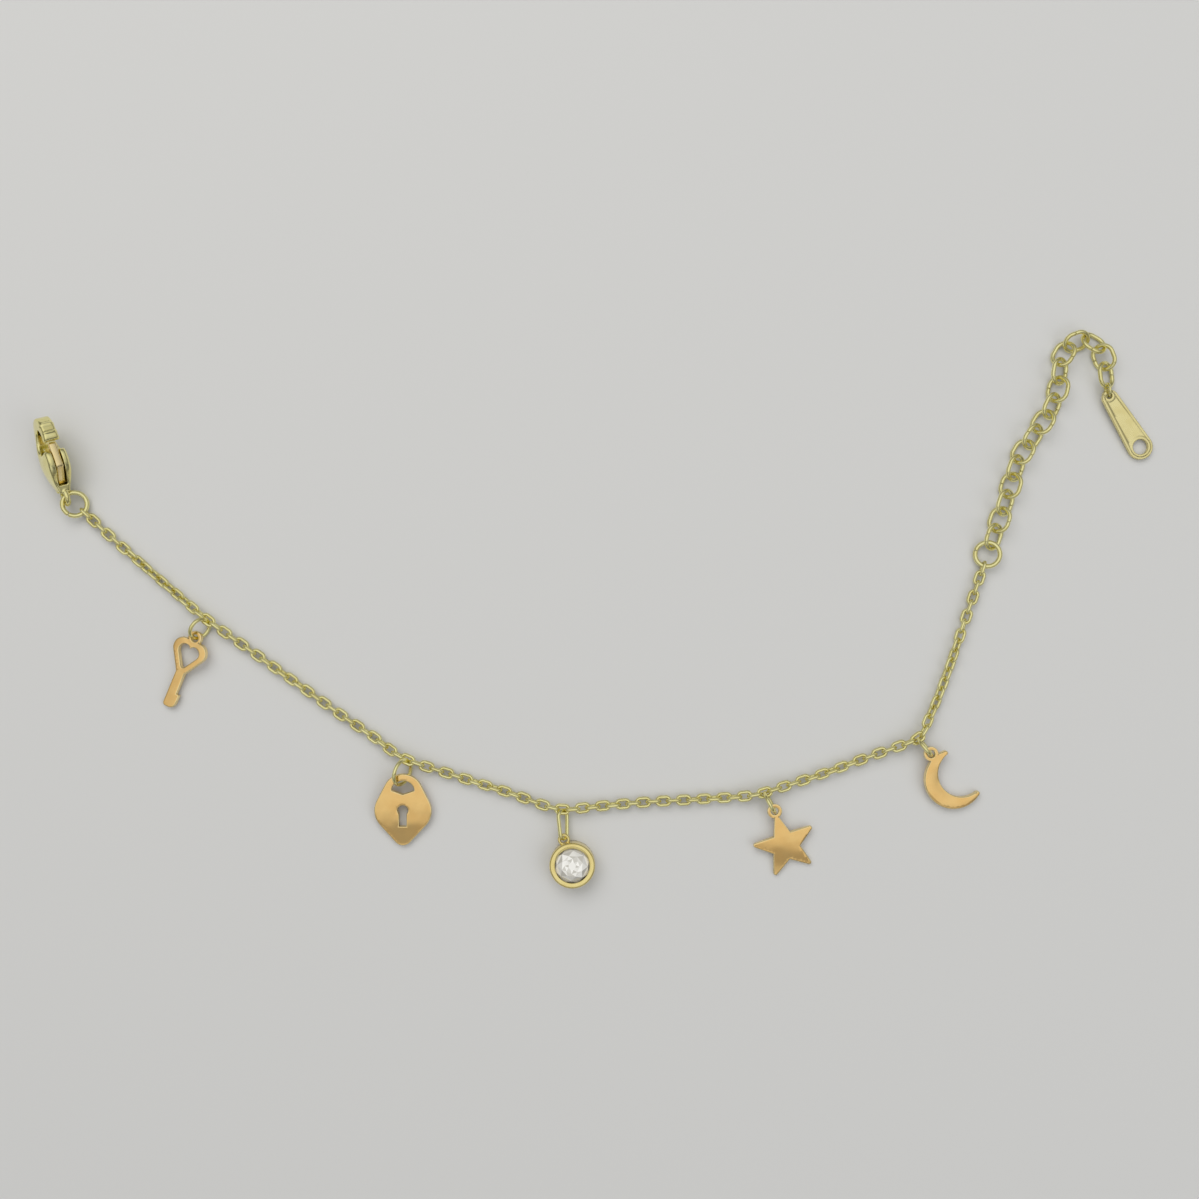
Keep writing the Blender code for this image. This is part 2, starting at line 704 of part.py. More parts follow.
def build_clasp(first_link, link_way):
    """Clasp and its jump ring, from the first link of the chain outwards."""
    body = clasp_body_shape()
    turn = clasp_turn()
    height = -min((turn @ vertex.co).z for vertex in body.data.vertices)
    radius = (CLASP_RING - CLASP_RING_WIRE) / 2
    start = first_link + link_way * (LINK_LENGTH / 2 - LINK_WIRE - CLASP_RING_WIRE / 2 - WIRE_PLAY)
    reach = 2 * radius
    rise = height - start.z
    way = flat_direction(CLASP_RING_HEADING) * sqrt(reach ** 2 - rise ** 2) + Vector((0, 0, rise))
    loop = start + way
    way.normalize()

    ring_side = Matrix.Rotation(radians(CLASP_RING_ROLL), 3, way) @ Vector((-way.y, way.x, 0))
    ring = axes_matrix(start + way * radius, way, ring_side)
    make_link("clasp_ring", CLASP_RING, CLASP_RING, CLASP_RING_WIRE, ring)
    body.matrix_world = Matrix.Translation(loop) @ turn
    finish(body, "clasp_body")

    pin = clasp_point(PIN_PLACE)
    to_pin = Matrix.Translation((pin.x, 0, pin.y))
    lever = turned_by(clasp_lever_shape(), to_pin.inverted())
    lever.matrix_world = Matrix.Translation(loop) @ turn @ to_pin
    finish(lever, "clasp_lever")


# Fine chain


def chain_steps(route):
    """An even number of steps from the first link to the last, never too long."""
    pitch = LINK_LENGTH - 2 * LINK_WIRE - WIRE_PLAY / 2
    return 2 * ceil(route.length / (2 * pitch))


def flat_link_number(share, steps):
    """The even-numbered link nearest to a share of the chain, where it carries a charm."""
    return 2 * round(share * steps / 2)


class Chain:
    """Places of the fine chain's links, with the lifts that the charm rings give."""

    def __init__(self, route):
        self.route = route
        self.steps = chain_steps(route)
        self.pitch = route.length / self.steps
        self.lifts = []

    def lift(self, share, height):
        number = flat_link_number(share, self.steps)
        self.lifts.append((number * self.pitch, height))
        return number

    def point(self, distance):
        rest = LINK_WIDTH / 2
        height = rest
        for mark, top in self.lifts:
            share = abs(distance - mark) / LIFT_REACH
            if share < 1:
                height = max(height, rest + (top - rest) * cos(pi * share / 2) ** 2)
        place = self.route.at(distance)
        return Vector((place.x, place.y, height))

    def build_link(self, number, name):
        """A true link: flat under a charm's ring, and on its edge at the chain's ends."""
        distance = number * self.pitch
        heading = self.route.heading(distance)
        at_end = number in (0, self.steps)
        side = Vector((0, 0, 1)) if at_end else flat_direction(heading + 90)
        matrix = axes_matrix(self.point(distance), flat_direction(heading), side)
        make_link(name, LINK_LENGTH, LINK_WIDTH, LINK_WIRE, matrix)

    def build_run(self, first, last, name):
        """The tube that the fine links between two true links fill."""
        clear = LINK_LENGTH / 2 + 2 * SEAT_GAP
        start, end = first * self.pitch + clear, last * self.pitch - clear
        curve = bpy.data.curves.new(name, "CURVE")
        curve.dimensions = "3D"
        curve.bevel_depth = LINK_WIDTH / 2
        curve.bevel_resolution = TUBE_RESOLUTION
        curve.use_fill_caps = True
        steps = ceil((end - start) / LINK_WIDTH)
        line = [self.point(start + (end - start) * step / steps) for step in range(steps + 1)]
        add_line(curve, line, False)
        finish(to_mesh(new_object(name, curve)), name)


def build_chain_and_charms():
    chain = Chain(Route(CHAIN_ROUTE))
    key_ring = Hoop(KEY_RING, RING_WIRE, KEY_RING_LEAN, KEY_RING_HEADING)
    lock_ring = Hoop(LOCK_RING, RING_WIRE, LOCK_RING_LEAN, LOCK_RING_HEADING)
    star_ring = Hoop(STAR_RING, RING_WIRE, STAR_RING_LEAN, STAR_RING_HEADING)
    moon_ring = Hoop(MOON_RING, RING_WIRE, MOON_RING_LEAN, MOON_RING_HEADING)
    charms = (
        ("key", KEY_PLACE, key_ring, key_shape, KEY_HEADING, KEY_ROLL),
        ("padlock", LOCK_PLACE, lock_ring, lock_shape, LOCK_HEADING, 0),
        ("star", STAR_PLACE, star_ring, star_shape, STAR_HEADING, 0),
        ("moon", MOON_PLACE, moon_ring, moon_shape, MOON_HEADING, 0),
    )
    true_links = {0: "clasp_end_link", chain.steps: "extender_end_link"}
    stone_number = chain.lift(BAIL_PLACE, BEZEL_HEIGHT / 2)
    true_links[stone_number] = "stone_link"
    for name, share, ring, *_ in charms:
        true_links[chain.lift(share, ring.hold)] = name + "_link"

    numbers = sorted(true_links)
    for number in numbers:
        chain.build_link(number, true_links[number])
    for index, (first, last) in enumerate(zip(numbers, numbers[1:]), 1):
        chain.build_run(first, last, f"chain_run_{index}")

    link_slack = (LINK_WIDTH - RING_WIRE) / 2 - LINK_WIRE - WIRE_PLAY
    for name, share, ring, shape, heading, roll in charms:
        number = flat_link_number(share, chain.steps)
        ring.thread(chain.point(number * chain.pitch) + ring.along * link_slack)
        ring.build(name + "_ring")
        charm = let_down(shape(), ring.point(ring.hold, 1), heading, roll)
        finish(charm, name + "_charm", WARM_GOLD)
    build_stone_drop(chain.point(stone_number * chain.pitch))
    return chain


# Extender


def build_extender(chain):
    """A round ring, then oval links that lean to each side in turn, then the tag."""
    last_link = chain.point(chain.route.length)
    leave = flat_direction(chain.route.heading(chain.route.length))
    ring_radius = (EXTENDER_RING - EXTENDER_RING_WIRE) / 2
    ring_slack = LINK_LENGTH / 2 - LINK_WIRE - EXTENDER_RING_WIRE / 2 - WIRE_PLAY
    ring_centre = last_link + leave * (ring_slack + ring_radius)
    route = Route(((ring_centre.x, ring_centre.y), *EXTENDER_ROUTE[1:]))

    inner = EXTENDER_LENGTH / 2 - EXTENDER_WIRE
    first = ring_radius - EXTENDER_RING_WIRE / 2 + inner - 5 * WIRE_PLAY
    pitch = (route.length - first) / (EXTENDER_LINKS - 1)
    lean = radians(EXTENDER_LEAN)
    height = (EXTENDER_WIDTH - EXTENDER_WIRE) / 2 * sin(lean) + EXTENDER_WIRE / 2

    def matrix_at(distance, turn, z, rise=0.0):
        place = route.at(distance)
        heading = route.heading(distance, pitch)
        side = flat_direction(heading + 90) * cos(turn) + Vector((0, 0, sin(turn)))
        along = flat_direction(heading) + Vector((0, 0, rise))
        return axes_matrix(Vector((place.x, place.y, z)), along, side)

    rise = (height - last_link.z) / (2 * ring_radius)
    ring_turn = -radians(EXTENDER_RING_LEAN)
    ring_matrix = matrix_at(0, ring_turn, (height + last_link.z) / 2, rise)
    make_link("extender_ring", EXTENDER_RING, EXTENDER_RING, EXTENDER_RING_WIRE, ring_matrix)
    for number in range(EXTENDER_LINKS):
        turn = lean if number % 2 == 0 else -lean
        matrix = matrix_at(first + number * pitch, turn, height)
        name = f"extender_link_{number + 1:02d}"
        make_link(name, EXTENDER_LENGTH, EXTENDER_WIDTH, EXTENDER_WIRE, matrix)
    last_place = route.at(route.length)
    build_tag(Vector((last_place.x, last_place.y, height)), route.heading(route.length, pitch))


def tag_shape():
    """A tapered plate with a round end and hole; its eye is at the origin."""
    top, end = TAG_TOP_WIDTH / 2, TAG_END_WIDTH / 2
    eye = TAG_EYE / 2 + TAG_EYE_RIM
    top_place = (0, eye - top)
    end_place = (0, eye - TAG_LENGTH + end)
    outline = belt(((top_place, top), (end_place, end)))
    body = plate([outline], TAG_THICKNESS, TAG_EDGE)
    body = boolean(body, plate([circle(TAG_EYE / 2)], 2 * TAG_THICKNESS), "DIFFERENCE")
    bore = turned_by(plate([circle(TAG_HOLE / 2)], 2 * TAG_THICKNESS), Matrix.Translation((*end_place, 0)))
    return boolean(body, bore, "DIFFERENCE")


def build_tag(last_link, heading):
    """The small ring through the last link, and the tag on it."""
    ring = Hoop(TAG_RING, TAG_RING_WIRE, 0, heading)
    inner = EXTENDER_LENGTH / 2 - EXTENDER_WIRE - TAG_RING_WIRE / 2 - WIRE_PLAY
    ring.thread(last_link + ring.along * inner)
    ring.build("tag_ring")
    finish(let_down(tag_shape(), ring.point(ring.height, 1), TAG_HEADING), "end_tag")


def centre_on_origin():
    """Set the bracelet down with the middle of its footprint at the origin."""
    bpy.context.view_layer.update()
    graph = bpy.context.evaluated_depsgraph_get()
    corners = []
    for obj in PARTS.objects:
        if obj.type != "EMPTY":
            shape = obj.evaluated_get(graph)
            corners += [shape.matrix_world @ vertex.co for vertex in shape.to_mesh().vertices]
            shape.to_mesh_clear()
    low = [min(corner[axis] for corner in corners) for axis in range(3)]
    high = [max(corner[axis] for corner in corners) for axis in range(3)]
    FRAME.location = (-(low[0] + high[0]) / 2, -(low[1] + high[1]) / 2, -low[2])


for old in list(bpy.data.objects):
    bpy.data.objects.remove(old)
PARTS = bpy.data.collections.new("charm_bracelet")
bpy.context.scene.collection.children.link(PARTS)
FRAME = new_object("bracelet_frame", None)

the_chain = build_chain_and_charms()
start = the_chain.point(0)
build_clasp(start, -flat_direction(the_chain.route.heading(0)))
build_extender(the_chain)
centre_on_origin()
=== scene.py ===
"""Looks of a charm bracelet in polished yellow metal, laid open on a pale surface.

Shapes are worked out in millimetres, in the plan that the chain's route is drawn in,
and each finished mesh is then set down in metres where its solid lies.
"""

from math import acos, atan2, ceil, cos, degrees, hypot, pi, radians, sin, sqrt

import bmesh
import bpy
from mathutils import Matrix, Vector


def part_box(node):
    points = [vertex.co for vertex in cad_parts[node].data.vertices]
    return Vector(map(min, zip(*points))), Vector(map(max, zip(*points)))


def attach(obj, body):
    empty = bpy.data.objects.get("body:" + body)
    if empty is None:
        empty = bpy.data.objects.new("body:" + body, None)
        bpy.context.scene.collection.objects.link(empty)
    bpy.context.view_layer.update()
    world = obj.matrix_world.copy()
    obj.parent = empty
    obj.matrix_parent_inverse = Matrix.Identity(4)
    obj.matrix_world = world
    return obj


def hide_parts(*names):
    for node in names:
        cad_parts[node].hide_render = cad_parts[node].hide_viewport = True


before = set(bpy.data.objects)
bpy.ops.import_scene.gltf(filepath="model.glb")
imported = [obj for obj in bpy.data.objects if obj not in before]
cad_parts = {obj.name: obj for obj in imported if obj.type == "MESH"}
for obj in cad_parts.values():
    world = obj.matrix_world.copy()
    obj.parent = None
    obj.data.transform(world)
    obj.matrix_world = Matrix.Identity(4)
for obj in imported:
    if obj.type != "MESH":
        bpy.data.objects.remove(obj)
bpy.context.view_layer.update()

# Every wire is drawn a little fuller than its solid, on the same middle line
WIRE_FULLNESS = 1.15

# Fine chain: oval links, each a quarter turn from the next, slowly twisting
WIRE_PLAY = 0.05
LINK_LENGTH = 2.2
LINK_WIDTH = 1.5
LINK_WIRE = 0.4
LIFT_REACH = 6.0
CHAIN_STEPS = 110
CHAIN_ROUTE = (
    (-69.4, 11.6), (-66.0, 8.4), (-60.5, 3.6), (-55.1, -1.0), (-50.8, -4.3),
    (-45.2, -8.3), (-40.7, -11.5), (-35.1, -15.5), (-30.5, -18.6), (-27.1, -21.0),
    (-23.2, -22.6), (-18.0, -24.3), (-12.6, -26.0), (-7.4, -27.8), (-4.6, -28.3),
    (-1.9, -28.1), (6.2, -27.4), (13.4, -27.0), (20.0, -26.5), (24.0, -25.5),
    (29.5, -23.8), (35.8, -21.5), (41.2, -19.5), (43.4, -18.3), (44.5, -16.0),
    (45.7, -13.4), (47.6, -8.3), (49.3, -3.2), (50.9, 1.5), (51.8, 4.2),
)
TWIST = 13

# Charm rings: size, lean, heading and share of the way along the chain
RING_WIRE = 0.45
HOLD_SHARE = 0.8
RINGS = {
    "key": (3.4, 33, -124, 0.145),
    "padlock": (3.9, 30, -105, 0.363),
    "star": (3.3, 7, -62, 0.69),
    "moon": (3.2, 11, -50, 0.837),
}
SEAM = 0.04

# Charms
CHARM_THICKNESS = 0.9
CHARM_EDGE = 0.16
EYE_HOLE = 1.0
EYE_RIM = 0.5
EYE_THINNING = 0.2
HEART_LOBE_SHARE = 0.28
HEART_TIP_SHARE = 0.12

KEY_LENGTH = 11.1
KEY_BOW_WIDTH = 5.0
KEY_BOW_HEIGHT = 5.2
KEY_BOW_DROP = 0.4
KEY_WINDOW_WIDTH = 3.0
KEY_SHAFT_WIDTH = 1.35
KEY_TOOTH = 0.45
KEY_TOOTH_LENGTH = 2.1
KEY_HEADING = -114
KEY_ROLL = -10

LOCK_WIDTH = 7.75
LOCK_HEIGHT = 9.9
LOCK_DOME = 2.7
LOCK_LOBE = 3.0
LOCK_LOBE_DROP = 5.1
LOCK_TIP = 1.3
LOCK_WINDOW_WIDTH = 3.0
LOCK_WINDOW_RISE = 1.35
LOCK_WINDOW_CLEFT = 0.5
LOCK_BAR = 0.95
LOCK_RING_OFFSET = 0.3
LOCK_HANG = 0.3
KEYHOLE_DROP = 5.0
KEYHOLE_RADIUS = 0.68
KEYHOLE_SLOT = 0.98
KEYHOLE_LENGTH = 2.9
LOCK_HEADING = -91

STAR_RADIUS = 4.35
STAR_WAIST = 2.0
STAR_TIP = 0.3
STAR_HEADING = -72

MOON_RADIUS = 4.1
MOON_EYE_DROP = 4.7
MOON_BITE = 3.3
MOON_BITE_SHIFT = 1.38
MOON_OPENING = 140
MOON_FACING = -4
MOON_HORN = 0.28
MOON_HEADING = -47

# Stone drop
SEAT_GAP = 0.1
STONE_WIDTH = 5.1
BEZEL_WALL = 0.42
BEZEL_LIP = 0.22
BEZEL_HEIGHT = 2.6
BEZEL_LIP_HEIGHT = 0.45
BEZEL_LEDGE = 0.4
STONE_CROWN = 0.8
STONE_GIRDLE = 0.12
STONE_PAVILION = 1.7
BAIL_LENGTH = 4.3
BAIL_WIDTH = 2.1
BAIL_FOOT = 1.7
BAIL_WIRE = 0.4
BAIL_LEAN = 42
BAIL_HEADING = -87
BAIL_PLACE = 0.51
DROP_HEADING = -71
DROP_EYE_HOLE = 0.9
DROP_EYE_WIRE = 0.35

# Clasp
CLASP_LENGTH = 12.2
CLASP_HEIGHT = 5.3
CLASP_THICKNESS = 3.3
CLASP_REST = 1.673
LOOP_OUTER = 2.7
LOOP_HOLE = 1.8
LOOP_RISE = 0.47
LEVER_THICKNESS = 1.0
LEVER_HUB = 0.85
LEVER_NOSE = 0.4
LEVER_KNOB = 0.5
PIN_RADIUS = 0.35
CLASP_HEADING = 103
CLASP_PITCH = 13
CLASP_LEAN = 32
CLASP_RING = 3.7
CLASP_RING_WIRE = 0.55
CLASP_RING_HEADING = 138
CLASP_RING_ROLL = 14
CLAW_OUTLINE = (
    (0.15, 0.33), (0.26, 0.235), (0.425, 0.085), (0.63, 0.0), (0.83, 0.065),
    (0.965, 0.30), (1.0, 0.585), (0.945, 0.87), (0.835, 0.99), (0.755, 1.0),
    (0.735, 0.86), (0.825, 0.775), (0.87, 0.585), (0.825, 0.36), (0.705, 0.275),
    (0.62, 0.38), (0.60, 0.60), (0.635, 0.87), (0.555, 0.98), (0.41, 0.925),
    (0.27, 0.715), (0.15, 0.62),
)
CLAW_FULLNESS = (
    (0.10, 0.40), (0.20, 0.52), (0.30, 0.78), (0.45, 1.0), (0.62, 0.96),
    (0.78, 0.74), (0.92, 0.62), (1.05, 0.5),
)
PIN_PLACE = (0.32, 0.51)
KNOB_PLACE = (0.47, 0.87)
NOSE_PLACE = (0.735, 0.86)
SLOT_FLOOR = 0.30
SLOT_END = 0.69
CLAW_ROUNDING = 0.34
CLAW_VOXEL = 0.06
CLAW_SMOOTHING = 14

# Extender and its end tag
EXTENDER_LENGTH = 3.8
EXTENDER_WIDTH = 3.1
EXTENDER_WIRE = 0.5
EXTENDER_LEAN = 36
EXTENDER_LINKS = 16
EXTENDER_RING = 3.8
EXTENDER_RING_WIRE = 0.55
EXTENDER_RING_LEAN = 14
EXTENDER_ROUTE = (
    (52.6, 6.1), (54.3, 11.6), (55.6, 15.6), (56.6, 18.9), (58.3, 21.6),
    (60.5, 25.0), (61.8, 27.9), (62.1, 30.5), (62.5, 32.8), (63.8, 34.5),
    (65.6, 35.0), (67.3, 34.2), (68.2, 32.4), (68.4, 30.3),
)
TAG_RING = 2.0
TAG_RING_WIRE = 0.34
TAG_LENGTH = 10.6
TAG_TOP_WIDTH = 2.2
TAG_END_WIDTH = 3.4
TAG_THICKNESS = 0.6
TAG_EDGE = 0.1
TAG_BORDER = 0.3
TAG_SINK = 0.07
TAG_HOLE = 2.05
TAG_EYE = 0.8
TAG_EYE_RIM = 0.35
TAG_HEADING = -57

# Roundness of the meshes
SMOOTH_STEPS = 12
ARC_STEP = 7
EDGE_STEPS = 4
CAP_GRID = 0.35
FINE_STEPS = 20
FINE_SIDES = 8
RING_STEPS = 56
RING_SIDES = 16
TURN_STEPS = 96


# Lines and outlines


def smooth_line(points, steps, closed=False):
    """A smooth line through chosen points, with some steps to each span."""
    knots = [Vector(point) for point in points]
    if closed:
        knots = [knots[-1], *knots, knots[0], knots[1]]
    else:
        knots = [2 * knots[0] - knots[1], *knots, 2 * knots[-1] - knots[-2]]
    line = [knots[1]]
    for a, b, c, d in zip(knots, knots[1:], knots[2:], knots[3:]):
        for step in range(1, steps + 1):
            t = step / steps
            bend = 2 * a - 5 * b + 4 * c - d
            turn = 3 * b - a - 3 * c + d
            line.append(b + ((c - a) * t + bend * t ** 2 + turn * t ** 3) / 2)
    return line[:-1] if closed else line


class Route:
    """A smooth line on the floor, read by the distance along it."""

    def __init__(self, points):
        self.line = smooth_line(points, SMOOTH_STEPS)
        self.marks = [0.0]
        for one, two in zip(self.line, self.line[1:]):
            self.marks.append(self.marks[-1] + (two - one).length)
        self.length = self.marks[-1]

    def at(self, distance):
        index = 1
        while index < len(self.marks) - 1 and self.marks[index] < distance:
            index += 1
        start, end = self.marks[index - 1], self.marks[index]
        return self.line[index - 1].lerp(self.line[index], (distance - start) / (end - start))

    def heading(self, distance, reach=LINK_WIDTH):
        ahead = self.at(min(distance + reach, self.length))
        behind = self.at(max(distance - reach, 0))
        return degrees(atan2(ahead.y - behind.y, ahead.x - behind.x))


def flat_direction(heading):
    return Vector((cos(radians(heading)), sin(radians(heading)), 0))


def axes_matrix(place, along, side):
    """A frame at a place, with X along one way and Y as near as can be to another."""
    x = along.normalized()
    z = x.cross(side).normalized()
    return Matrix.Translation(place) @ Matrix((x, z.cross(x), z)).transposed().to_4x4()


def arc(centre, radius, start, end, step=ARC_STEP):
    """Points round a circle from one angle to another, both included."""
    steps = max(1, ceil(abs(end - start) / step - 0.001))
    points = []
    for index in range(steps + 1):
        angle = radians(start + (end - start) * index / steps)
        points.append((centre[0] + radius * cos(angle), centre[1] + radius * sin(angle)))
    return points


def circle(radius, centre=(0, 0)):
    return arc(centre, radius, 0, 360)[:-1]


def belt(circles):
    """The outline of a belt pulled round circles that are given anticlockwise."""
    leaving = []
    for index, ((x, y), radius) in enumerate(circles):
        (next_x, next_y), next_radius = circles[(index + 1) % len(circles)]
        run = hypot(next_x - x, next_y - y)
        line = degrees(atan2(next_y - y, next_x - x))
        leaving.append(line - degrees(acos((radius - next_radius) / run)))
    points = []
    for index, (centre, radius) in enumerate(circles):
        start = leaving[index - 1]
        points += arc(centre, radius, start, start + (leaving[index] - start) % 360)
    return points


def heart(width, height, drop):
    """A heart hung by its cleft: two lobes, straight flanks and a round tip."""
    lobe = width * HEART_LOBE_SHARE
    tip = width * HEART_TIP_SHARE
    reach = width / 2 - lobe
    middle = -drop - lobe
    foot = -drop - height + tip
    line = degrees(atan2(middle - foot, reach))
    flank = line - degrees(acos((tip - lobe) / hypot(reach, middle - foot)))
    cleft = 180 - degrees(acos(reach / lobe))
    right = arc((reach, middle), lobe, flank, cleft)
    left = [(-x, y) for x, y in reversed(right[:-1])]
    return right + left + arc((0, foot), tip, -180 - flank, flank)


def loop_path(length, width, wire, steps, gap=0.0):
    """The middle line of an oval link, long in X, from the seam in its side and round."""
    radius = (width - wire) / 2
    points = []
    for step in range(steps):
        angle = pi / 2 + 2 * pi * (step + 0.5) / steps
        shift = (length - width) / 2 if cos(angle) > 0 else (width - length) / 2
        points.append((radius * cos(angle) + shift, radius * sin(angle)))
    if gap:
        points = [(-gap / 2, radius), *points, (gap / 2, radius)]
    return points


# Shapes


def is_vertex(item):
    return isinstance(item, bmesh.types.BMVert)


def wire_along(points, wire, sides=RING_SIDES, closed=True, depth=1.0):
    """A wire drawn along points in its own XY plane; an open one gets rounded ends."""
    shape = bmesh.new()
    wire = wire * WIRE_FULLNESS
    stations = []
    for index, point in enumerate(points):
        behind = points[index - 1] if closed or index else point
        ahead = points[(index + 1) % len(points)] if closed or index < len(points) - 1 else point
        way = atan2(ahead[1] - behind[1], ahead[0] - behind[0])
        stations.append(Matrix.Translation((*point, 0)) @ Matrix.Rotation(way, 4, "Z"))
    section = stations[0] @ Matrix.Rotation(pi / 2, 4, "Y") @ Matrix.Scale(depth, 4, (1, 0, 0))
    bmesh.ops.create_circle(shape, segments=sides, radius=wire / 2, matrix=section)
    first = shape.edges[:]
    ring = first
    for one, two in zip(stations, stations[1:]):
        drawn = bmesh.ops.extrude_edge_only(shape, edges=ring)["geom"]
        corners = {item for item in drawn if is_vertex(item)}
        bmesh.ops.transform(shape, matrix=two @ one.inverted(), verts=list(corners))
        ring = [edge for edge in {edge for corner in corners for edge in corner.link_edges}
                if all(vertex in corners for vertex in edge.verts)]
        ring.sort(key=lambda edge: edge.index)
    if closed:
        bmesh.ops.bridge_loops(shape, edges=first + ring)
    else:
        caps = bmesh.ops.holes_fill(shape, edges=first + ring, sides=0)["faces"]
        rims = [edge for cap in caps for edge in cap.edges]
        bmesh.ops.bevel(shape, geom=rims, offset=wire / 8, segments=2, profile=0.5,
                        affect="EDGES", material=-1)
    bmesh.ops.recalc_face_normals(shape, faces=shape.faces)
    return shape


def scratch_object(shape):
    mesh = bpy.data.meshes.new("raw")
    shape.to_mesh(mesh)
    shape.free()
    obj = bpy.data.objects.new("raw", mesh)
    bpy.context.scene.collection.objects.link(obj)
    return obj


def as_evaluated(obj):
    """The shape of an object with its modifiers applied; the object is used up."""
    bpy.context.view_layer.update()
    ready = obj.evaluated_get(bpy.context.evaluated_depsgraph_get())
    shape = bmesh.new()
    shape.from_mesh(ready.to_mesh())
    ready.to_mesh_clear()
    bpy.data.objects.remove(obj)
    bmesh.ops.remove_doubles(shape, verts=shape.verts, dist=1e-5)
    return shape


def combine(shape, tool, operation):
    """Join a tool to a shape or cut it out of it; both are used up."""
    target, other = scratch_object(shape), scratch_object(tool)
    change = target.modifiers.new(operation, "BOOLEAN")
    change.operation = operation
    change.object = other
    result = as_evaluated(target)
    bpy.data.objects.remove(other)
    return result


def prism(outline, half):
    """A straight slab of an outline, as far above the plane as below it."""
    shape = bmesh.new()
    corners = [shape.verts.new((x, y, -half)) for x, y in outline]
    base = shape.faces.new(corners)
    raised = bmesh.ops.extrude_face_region(shape, geom=[base], use_keep_orig=True)["geom"]
    corners = [item for item in raised if is_vertex(item)]
    bmesh.ops.translate(shape, vec=(0, 0, 2 * half), verts=corners)
    bmesh.ops.recalc_face_normals(shape, faces=shape.faces)
    return shape


def sheet_of(outlines, holes):
    """The flat faces, at height nought, of some outlines joined and some cut away."""
    shape = prism(outlines[0], 1)
    for outline in outlines[1:]:
        shape = combine(shape, prism(outline, 1), "UNION")
    for hole in holes:
        shape = combine(shape, prism(hole, 2), "DIFFERENCE")
    shape.normal_update()
    rest = [face for face in shape.faces if face.normal.z < 0.9]
    bmesh.ops.delete(shape, geom=rest, context="FACES")
    bmesh.ops.translate(shape, vec=(0, 0, -1), verts=shape.verts)
    bmesh.ops.remove_doubles(shape, verts=shape.verts, dist=0.02)
    return shape


def casting(outlines, holes, thickness, edge, fullness=None, border=0.0, sink=0.0):
    """A flat casting with rounded rims; fullness scales the height over its plan.

    The attribute rim is 1 on the rounded edge and 0 on the face.
    """
    shape = sheet_of(outlines, holes)
    rim = shape.verts.layers.float.new("rim")
    side = bmesh.ops.extrude_face_region(shape, geom=shape.faces[:])["geom"]
    corners = [item for item in side if is_vertex(item)]
    bmesh.ops.translate(shape, vec=(0, 0, thickness / 2 - edge), verts=corners)
    cap = [face for face in shape.faces if all(vertex.co.z > 1e-4 for vertex in face.verts)]
    flat = [face for face in shape.faces if all(abs(vertex.co.z) < 1e-4 for vertex in face.verts)]
    bmesh.ops.delete(shape, geom=flat, context="FACES_ONLY")
    for step in range(EDGE_STEPS):
        start, end = (pi / 2 * (step + more) / EDGE_STEPS for more in (0, 1))
        inset(shape, cap, edge * (cos(start) - cos(end)), edge * (sin(end) - sin(start)))
    # The rim mask; the warm finish paints a highlight with it, a paler colour on the rounded edge.
    for vertex in shape.verts:
        vertex[rim] = 1.0
    if border:
        inset(shape, cap, border, 0.0)
        inset(shape, cap, sink, -sink)
    inner = {vertex for face in cap for vertex in face.verts}
    low = [min(vertex.co[axis] for vertex in inner) for axis in (0, 1)]
    high = [max(vertex.co[axis] for vertex in inner) for axis in (0, 1)]
    for axis in (0, 1):
        normal = Vector((1 - axis, axis, 0))
        count = int((high[axis] - low[axis]) / CAP_GRID)
        for cut in range(1, count + 1):
            place = normal * (low[axis] + (high[axis] - low[axis]) * cut / (count + 1))
            cap = [face for face in shape.faces if all(vertex in inner for vertex in face.verts)]
            parts = {edge for face in cap for edge in face.edges}
            made = bmesh.ops.bisect_plane(
                shape, geom=[*inner, *parts, *cap], dist=1e-4, plane_co=place, plane_no=normal)
            inner.update(item for item in made["geom_cut"] if is_vertex(item))
    if fullness:
        for vertex in shape.verts:
            vertex.co.z *= fullness(vertex.co.x, vertex.co.y)
    for vertex in inner:
        vertex[rim] = min(vertex[rim], 0.0)
    bmesh.ops.mirror(shape, geom=shape.verts[:] + shape.edges[:] + shape.faces[:],
                     matrix=Matrix(), merge_dist=1e-4, axis="Z")
    bmesh.ops.recalc_face_normals(shape, faces=shape.faces)
    return shape


def inset(shape, faces, width, depth):
    bmesh.ops.inset_region(shape, faces=faces, thickness=width, depth=depth,
                           use_boundary=True, use_even_offset=False)


def turned(profile):
    """A solid of revolution from a closed profile of radius and height."""
    shape = bmesh.new()
    corners = [shape.verts.new((radius, 0, height)) for radius, height in profile]
    for one, two in zip(corners, corners[1:] + corners[:1]):
        shape.edges.new((one, two))
    bmesh.ops.spin(shape, geom=shape.verts[:] + shape.edges[:], cent=(0, 0, 0), axis=(0, 0, 1),
                   angle=2 * pi, steps=TURN_STEPS, use_merge=True)
    bmesh.ops.recalc_face_normals(shape, faces=shape.faces)
    return shape


# Finishes


class Reading:
    """A number that varies over a surface; sums on it add the nodes."""

    def __init__(self, finish, socket):
        self.finish = finish
        self.socket = socket

    def worked(self, operation, one, two):
        maths = self.finish.node("ShaderNodeMath", {"operation": operation}, {0: one, 1: two})
        return Reading(self.finish, maths.outputs[0])

    def __add__(self, other):
        return self.worked("ADD", self, other)

    def __sub__(self, other):
        return self.worked("SUBTRACT", self, other)

    def __rsub__(self, other):
        return self.worked("SUBTRACT", other, self)

    def __mul__(self, other):
        return self.worked("MULTIPLY", self, other)

    __radd__ = __add__
    __rmul__ = __mul__


